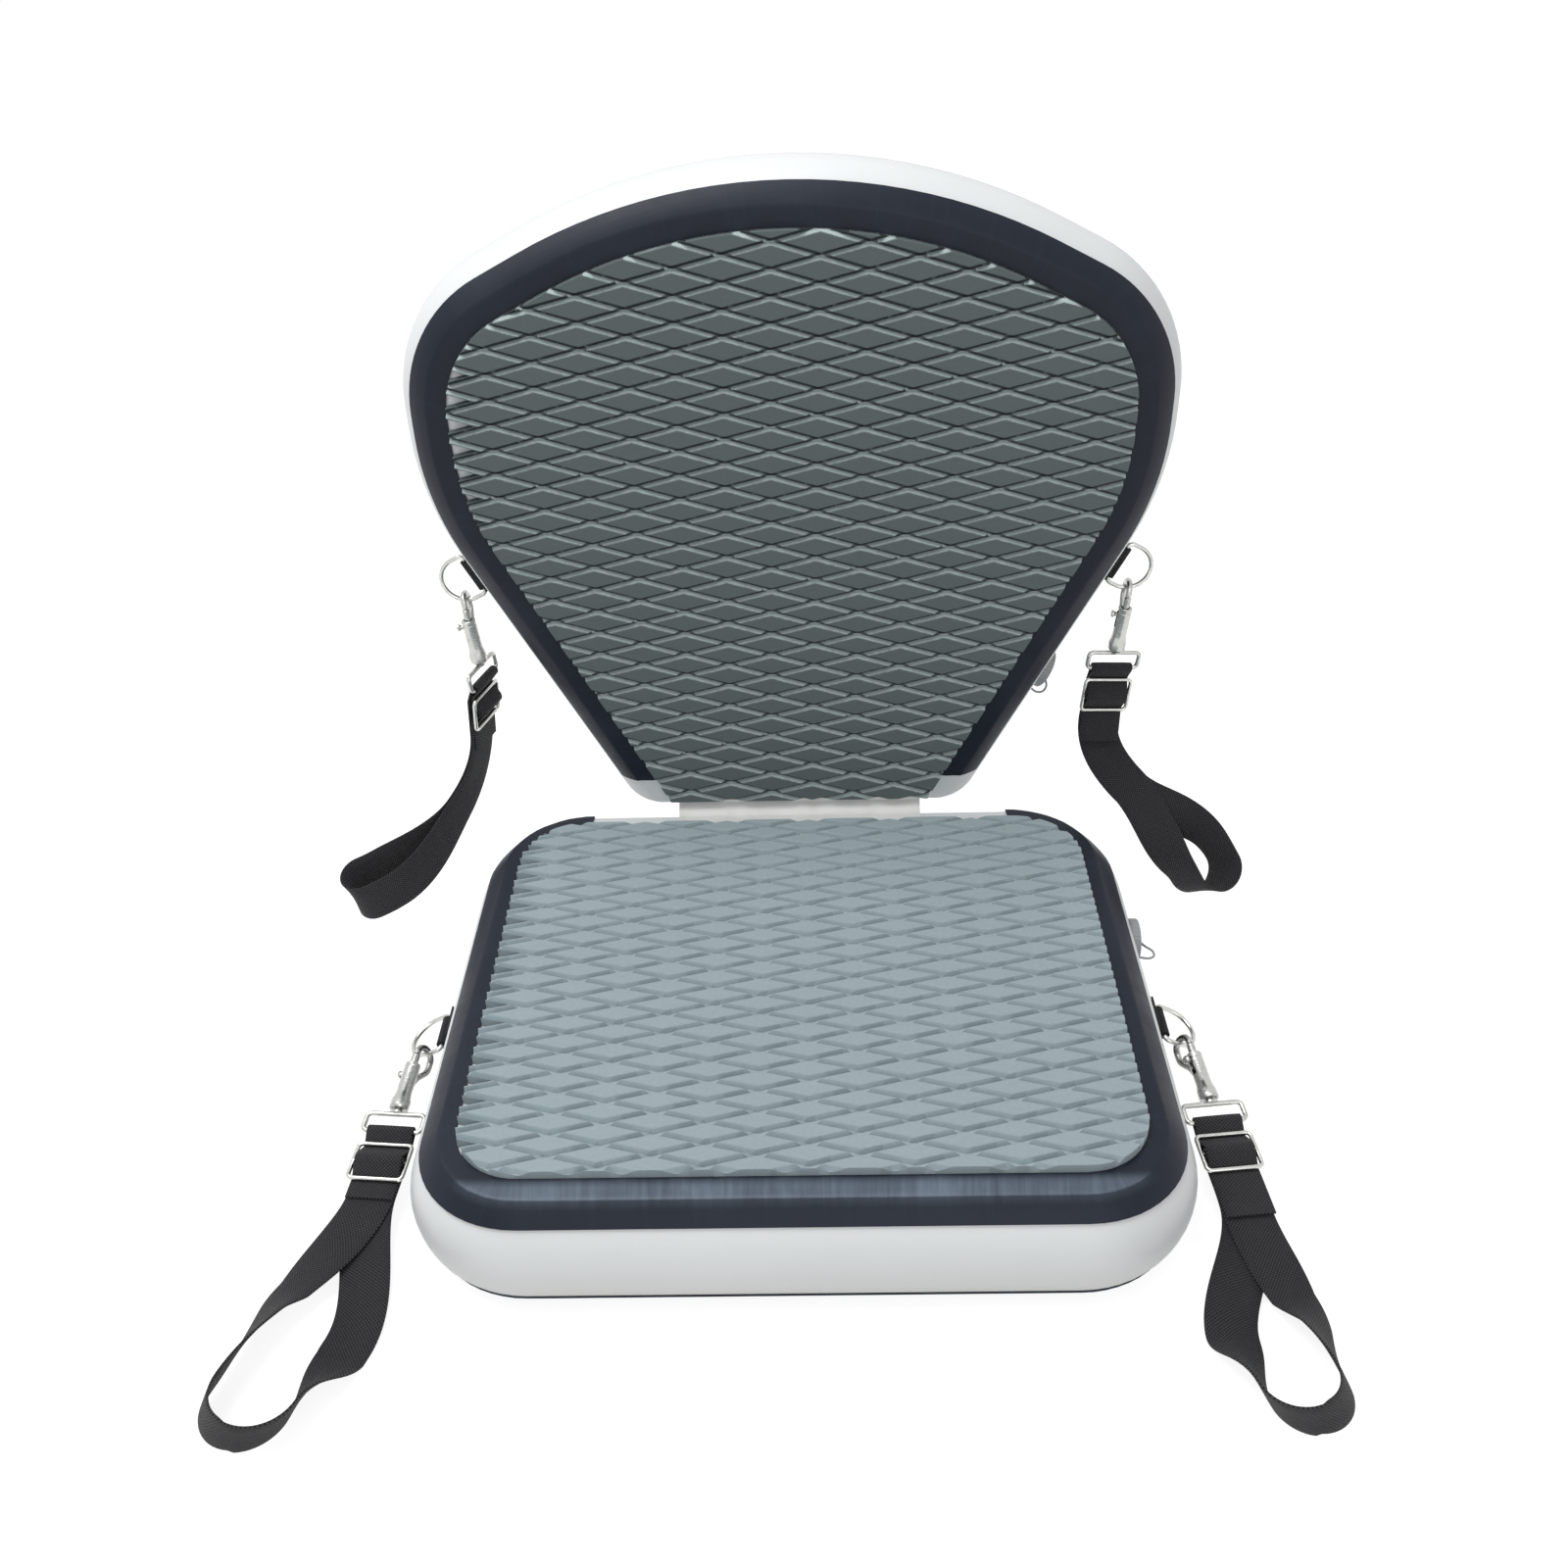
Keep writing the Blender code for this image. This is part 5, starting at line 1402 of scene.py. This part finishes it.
    def bolt_mesh(self) -> bpy.types.Mesh:
        """The sliding bolt and its thumb knob."""
        top = self.bolt_top
        soft = 0.0005
        profile = [(0, top), (self.bolt - soft, top), (self.bolt, top - soft),
                   (self.bolt, top - self.bolt_length), (0, top - self.bolt_length)]
        base = turned(profile, f"{self.name}_bolt", 28)
        lying = Matrix.Translation((0, 0, self.knob_height)) @ Matrix.Rotation(math.pi / 2, 4, "X")
        stem = turned([(0, self.knob_reach), (self.knob - soft, self.knob_reach),
                       (self.knob, self.knob_reach - soft), (self.knob, self.knob_reach - 0.0014),
                       (self.knob - soft, self.knob_reach - 0.0018),
                       (self.knob_stem, self.barrel + 2 * GAP), (self.knob_stem, 0), (0, 0)],
                      "knob", 24)
        stem.transform(lying)
        return combined(base, ((stem, "UNION"),), f"{self.name}_snap_bolt")

    def eye_mesh(self) -> bpy.types.Mesh:
        """The swivel eye on its headed stud."""
        half = self.eye_inside / 2 + self.eye_wire
        base = wire(rounded_frame(half, 0.0, self.eye_height, 0.0026), self.eye_wire,
                    f"{self.name}_eye", closed=True)
        head = self.foot + self.foot_wall + GAP
        stud = turned([(0, head + self.stud_head_height), (self.stud_head, head + self.stud_head_height),
                       (self.stud_head, head), (self.stud, head), (self.stud, self.eye_height + 0.002),
                       (self.stud + 0.0011, self.eye_height + 0.0012),
                       (self.stud + 0.0011, self.eye_height), (0, self.eye_height)], "stud", 24)
        return combined(base, ((stud, "UNION"),), f"{self.name}_swivel_eye")

    def slider_mesh(self) -> bpy.types.Mesh:
        """The three-bar slider."""
        half = self.web_width / 2 + 2 * GAP + self.slider_wire
        top = -self.slider_drop
        base = wire(rounded_frame(half, top - 2 * self.slider_pitch, top, 0.0025),
                    self.slider_wire, f"{self.name}_slider", closed=True)
        bar = [Vector((x * half, 0, top - self.slider_pitch)) for x in (-1, 1)]
        return combined(base, ((wire(bar, self.slider_wire, "bar"), "UNION"),), f"{self.name}_slider")

    def belt(self, circles: Sequence[tuple[float, float, float]]) -> list[tuple[float, float]]:
        """Points of a belt over circles (y, z, radius); a negative radius is passed clockwise."""
        ways = []
        for (y, z, radius), (ny, nz, following) in zip(circles, circles[1:]):
            apart = math.hypot(ny - y, nz - z)
            ways.append(math.atan2(nz - z, ny - y) - math.asin((following - radius) / apart))
        found = []
        for k, (y, z, radius) in enumerate(circles):
            before, after = ways[max(k - 1, 0)], ways[min(k, len(ways) - 1)]
            if radius == 0:
                found.append((y, z))
                continue
            turn = (after - before) % (2 * math.pi)
            if radius < 0:
                turn -= 2 * math.pi
            if abs(turn) > 1.9 * math.pi:
                turn = 0
            steps = max(2, math.ceil(abs(math.degrees(turn)) / 12))
            for step in range(steps + 1):
                way = before + turn * step / steps
                found.append((y + math.sin(way) * radius, z - math.cos(way) * radius))
        return found

    def loop_route(self, start: Matrix) -> list[Section]:
        """The free loop, from its front strand round to its rear one.

        Args:
            start: the strap's frame at the slider's foot.

        Returns:
            Centre points and width directions.
        """
        lie = self.lie
        origin, end = start.translation, Vector(lie.end)
        depth = start.col[1].xyz.normalized()
        way = -start.col[2].xyz.normalized()
        span = (end - origin).length * 0.38
        handles = (origin, origin + way * span, end - Vector(lie.end_way).normalized() * span, end)
        apart, bowed = lie.radius * math.sin(lie.fan), lie.radius * math.cos(lie.fan)
        front: list[Section] = []
        rear: list[Section] = []
        steps = 48
        for k in range(steps + 1):
            t = k / steps
            weights = ((1 - t) ** 3, 3 * t * (1 - t) ** 2, 3 * t * t * (1 - t), t ** 3)
            slopes = (-3 * (1 - t) ** 2, 3 * (1 - t) ** 2 - 6 * t * (1 - t),
                      6 * t * (1 - t) - 3 * t * t, 3 * t * t)
            point = sum((h * w for h, w in zip(handles, weights)), Vector())
            ahead = sum((h * w for h, w in zip(handles, slopes)), Vector()).normalized()
            depth = (depth - ahead * depth.dot(ahead)).normalized()
            across = ahead.cross(depth)
            grown = smooth_step((t - lie.split) / (lie.full - lie.split))
            shift = across * (lie.side * apart * grown)
            shift -= depth * (self.stack / 2 + max(bowed - self.stack / 2, 0) * grown)
            for strand, sign, begin in ((front, 1, lie.lead), (rear, -1, lie.lag)):
                roll = lie.roll * smooth_step((t - begin) / (1 - begin))
                width = across * math.cos(roll) + depth * (lie.side * math.sin(roll))
                strand.append((point + shift * sign, width))
        bend: list[Section] = []
        turns = 28
        for k in range(1, turns):
            angle = math.pi * k / turns
            spot = point + shift * math.cos(angle) + ahead * (shift.length * math.sin(angle))
            bend.append((spot, width))
        route = front + bend + rear[::-1]
        points = [spot for spot, _ in route]
        settled: list[Section] = []
        for k, (spot, width) in enumerate(route):
            along = (points[min(k + 1, len(points) - 1)] - points[max(k - 1, 0)]).normalized()
            across = (width - along * width.dot(along)).normalized()
            over = self.stack if k < len(front) + len(bend) / 2 and start.col[1].z < -0.5 else 0
            low = abs(across.z) * self.web_width / 2 + self.web_thickness / 2 + GAP + over
            settled.append((Vector((spot.x, spot.y, max(spot.z, low))), across))
        return settled

    def webbing_mesh(self, matrix: Matrix) -> tuple[bpy.types.Mesh, Vector]:
        """The whole strap: round the slider's bar, out into the loop, over the eye and back.

        Args:
            matrix: the strap's frame at the eye.

        Returns:
            The mesh, and the slider's foot.
        """
        half = self.web_thickness / 2
        top, middle, low = (-self.slider_drop - k * self.slider_pitch for k in range(3))
        wrap = self.slider_wire + GAP + half
        over = wrap + self.stack
        leave = low - 0.006
        behind = over + self.stack
        sewn = self.belt([(half, middle - wrap, 0), (0, middle, -wrap), (over, low + wrap, 0),
                          (over, leave, 0)])[1:]
        threaded = self.belt([(behind, leave, 0), (behind, top - wrap, 0),
                              (0, 0, self.eye_wire + GAP + half), (0, top, -wrap),
                              (0, middle, over), (0, low, -wrap),
                              (wrap - self.lie.lift, low - self.lie.tail, 0)])
        start = matrix @ Matrix.Translation((0, (over + behind) / 2, leave))
        width = matrix.col[0].xyz
        stations = [(matrix @ Vector((0, y, z)), width) for y, z in sewn]
        stations += self.loop_route(start)[1:-1]
        stations += [(matrix @ Vector((0, y, z)), width) for y, z in threaded]
        points = [spot for spot, _ in stations]
        run = 0.0
        sections, lies = [], []
        for k, (spot, across) in enumerate(stations):
            before, after = points[max(k - 1, 0)], points[min(k + 1, len(points) - 1)]
            normal = (after - before).normalized().cross(across)
            run += (spot - before).length
            ring, places = [], []
            for x, z in self.section():
                ring.append(spot + across * x + normal * z)
                places.append(Vector((run, x, 0)))
            sections.append(ring)
            lies.append(places)
        mesh = strip_mesh(sections, lies, f"{self.name}_webbing", around=True, onward=False)
        return mesh, start.translation.copy()

    def section(self) -> list[tuple[float, float]]:
        """The webbing's section: flat, with soft selvedges."""
        half, thick = self.web_width / 2, self.web_thickness / 2
        soft = thick * 0.9
        right = arc((half - soft, 0), soft, -70, 70, 4)
        left = arc((-half + soft, 0), soft, 110, 250, 4)
        inner = [(half * x, thick) for x in (0.5, 0, -0.5)]
        return right + inner + left + [(-x, -z) for x, z in inner]


@dataclass
class Studio:
    """The camera solved from the photograph, the lamps, the floor and the white surround."""

    eye: tuple[float, float, float] = (0.0077, -0.6249, 0.6235)
    yaw: float = math.radians(-1.244)
    pitch: float = math.radians(34.52)
    roll: float = math.radians(-1.647)
    focal_pixels: float = 1562.4
    picture_pixels: float = 1600.0
    sensor: float = 36.0

    def camera(self) -> None:
        """Place the camera."""
        ahead = Vector((math.sin(self.yaw) * math.cos(self.pitch),
                        math.cos(self.yaw) * math.cos(self.pitch), -math.sin(self.pitch)))
        right = Vector((math.cos(self.yaw), -math.sin(self.yaw), 0))
        up = right.cross(ahead)
        across = right * math.cos(self.roll) + up * math.sin(self.roll)
        upward = up * math.cos(self.roll) - right * math.sin(self.roll)
        data = bpy.data.cameras.new("camera")
        data.sensor_width = self.sensor
        data.lens = self.focal_pixels / self.picture_pixels * self.sensor
        data.clip_start = 0.02
        camera = bpy.data.objects.new("camera", data)
        camera.matrix_world = Matrix((across, upward, -ahead)).transposed().to_4x4()
        camera.matrix_world.translation = self.eye
        bpy.context.scene.collection.objects.link(camera)
        bpy.context.scene.camera = camera

    def lamp(self, name: str, place: Sequence[float], target: Sequence[float], size: float,
             power: float) -> None:
        """A square soft lamp.

        Args:
            name: its name.
            place: where it hangs.
            target: what it points at.
            size: its side in metres.
            power: its power in watts.
        """
        data = bpy.data.lights.new(name, "AREA")
        data.size = size
        data.energy = power
        lamp = bpy.data.objects.new(name, data)
        lamp.location = place
        way = Vector(target) - Vector(place)
        lamp.rotation_euler = way.to_track_quat("-Z", "Y").to_euler()
        bpy.context.scene.collection.objects.link(lamp)

    def world(self, ambient: float) -> None:
        """A white surround for the camera and reflections, dimmer for the light it gives."""
        world = bpy.data.worlds.new("surround")
        world.use_nodes = True
        make = Nodes(world.name, world.node_tree)
        background = make.tree.nodes["Background"]
        make.feed(background.inputs["Color"], rgba((1, 1, 1)))
        make.feed(background.inputs["Strength"], make.seen() * (1.0 - ambient) + ambient)
        bpy.context.scene.world = world

    def floor(self) -> None:
        """A wide pale floor."""
        bm = bmesh.new()
        bmesh.ops.create_grid(bm, x_segments=1, y_segments=1, size=6.0)
        mesh = mesh_of(bm, "floor")
        mesh.materials.append(Ground().material())
        floor = bpy.data.objects.new("floor", mesh)
        floor.location.z = -0.0002
        bpy.context.scene.collection.objects.link(floor)

    def build(self) -> None:
        """Set up the picture."""
        bpy.context.scene.view_settings.view_transform = "Standard"
        self.camera()
        self.floor()
        self.world(0.42)
        self.lamp("key", place=(-0.55, 0.05, 1.75), target=(0, 0.08, 0.15), size=1.1, power=21.0)
        self.lamp("front", place=(0.3, -1.7, 1.0), target=(0, 0.0, 0.15), size=1.4, power=7.0)


def seat_and_back() -> tuple[Pad, Pad]:
    """The two pads at their measured sizes.

    Returns:
        The seat and the backrest.
    """
    x, y, thick = SEAT_WIDTH / 2, SEAT_DEPTH / 2, SEAT_THICKNESS
    seat_foam = Foam(slot="pale_grey_foam", colour=(0.33, 0.40, 0.425),
                     pattern=(0.0043, 0.0021, math.radians(-0.30)),
                     cell_width=CELL_WIDTH, cell_height=CELL_HEIGHT,
                     shade=(0.17, 0.205, 0.215), shade_share=(0.32, 0.06), shade_dash=0.45,
                     light=(0.50, 0.58, 0.61), light_share=(0.30, 0.50))
    # The seat's tape takes a painted sheen along its front edge.
    seat = Pad("seat", "seat", Matrix.Identity(4), 0.0, thick,
               [(x, y, 0.048, 14), (-x, y, 0.048, 14), (-x, -y, 0.044, 14), (x, -y, 0.044, 14)],
               [0.012, 0.0085, 0.012, 0.0085], seat_foam, 1, 0.0, tape_sheen=1.0)
    gap, lean = HINGE_GAP, math.radians(1.0)
    hinge = Matrix.Translation((0, y + gap, thick + GAP + FOAM_THICKNESS))
    hinge = hinge @ Matrix.Rotation(math.pi / 2 - lean, 4, "X")
    half, foot, height = BACK_HALF, BACK_FOOT_HALF, 0.357
    slope, crown = math.radians(27.0), 0.296
    hip_y = gap + (half - foot) / math.tan(BACK_TAPER)
    crown_y = gap + height + crown * (1 / math.cos(slope) - 1)
    shoulder_y = crown_y - half * math.tan(slope)
    corners = [(-foot, gap, 0.006, 4), (foot, gap, 0.006, 4), (half, hip_y, 0.150, 10),
               (half, shoulder_y, 0.070, 16), (0.0, crown_y, crown, 24),
               (-half, shoulder_y, 0.070, 16), (-half, hip_y, 0.150, 10)]
    back_foam = Foam(slot="grey_foam", colour=(0.115, 0.140, 0.142),
                     pattern=(0.0165, 0.3341, math.radians(-1.48)),
                     cell_width=CELL_WIDTH, cell_height=CELL_HEIGHT,
                     shade=(0.010, 0.014, 0.015), shade_share=(0.85, 0.75), shade_dash=0.0,
                     light=(0.46, 0.54, 0.54), light_share=(0.75, 0.95))
    back_thick = 0.060
    back = Pad("back", "backrest", hinge, -(GAP + FOAM_THICKNESS) - back_thick, back_thick, corners,
               [0.0035] + [0.011] * 6, back_foam, -1, 0.016)
    return seat, back


def straps(seat: Pad, back: Pad) -> list[Strap]:
    """The four straps in the lies that the photograph shows.

    Args:
        seat: the seat pad.
        back: the backrest.

    Returns:
        The straps.
    """
    along = 0.155 / math.cos(BACK_TAPER)
    run = (BACK_HALF - BACK_FOOT_HALF) / math.sin(BACK_TAPER)
    middle = SEAT_DEPTH / 2
    right, tail = math.radians(90), 0.026
    return [
        Strap("back_right", back, 1, along, 0.0, Lie(
            math.radians(-148), (0.10, -0.03, 1.0), (1, 0.12, 0), (-0.12, 0.02, 1.0),
            (0.2525, 0.1338, 0.0321), (0.42, -0.20, -0.72), -1, right, 0.0135, 0.45, 0.9,
            math.radians(58), 0.6, 0.55, tail * 0.8, lift=0.005)),
        Strap("back_left", back, 6, run - along, 0.0, Lie(
            math.radians(-148), (-0.10, 0.0, 1.0), (0.35, 1, 0), (0.10, 0.0, 1.0),
            (-0.2699, 0.1250, 0.0341), (-0.8, -0.2, -0.25), -1, math.radians(8), 0.0105, 0.45,
            0.9, math.radians(38), 0.05, 0.05, tail * 0.7, face=-1)),
        Strap("seat_right", seat, 3, middle - 0.004, math.radians(25), Lie(
            math.radians(-165), (-0.10, 0.98, 0.17), (1, 0.12, 0), (-0.12, 1, 0.10),
            (0.222, -0.214, -0.002), (0.22, -1, 0), 1, right, 0.0185, 0.10, 0.75,
            math.radians(65), 0.35, 0.7, tail)),
        Strap("seat_left", seat, 1, middle + 0.004, math.radians(25), Lie(
            math.radians(-165), (0.10, 0.98, 0.17), (1, -0.22, 0), (0.22, 1, 0.10),
            (-0.248, -0.216, -0.002), (-0.33, -1, 0), -1, right, 0.0205, 0.0, 0.62,
            math.radians(65), 0.12, 0.68, tail * 0.4, face=-1)),
    ]


def main() -> None:
    """Build the scene in order."""
    logging.basicConfig(level=logging.INFO, format="%(name)s %(message)s")
    Studio().build()
    seat, back = seat_and_back()
    for pad in (seat, back):
        pad.build()
    HingeStrip(seat, back, axis_y=SEAT_DEPTH / 2 + HINGE_GAP, gap=HINGE_GAP).build()
    Valve(seat, edge=3, along=SEAT_DEPTH / 2 + 0.066).build()
    Valve(back, edge=1, along=0.084 / math.cos(BACK_TAPER)).build()
    for strap in straps(seat, back):
        strap.build()


if __name__ == "__main__":
    main()
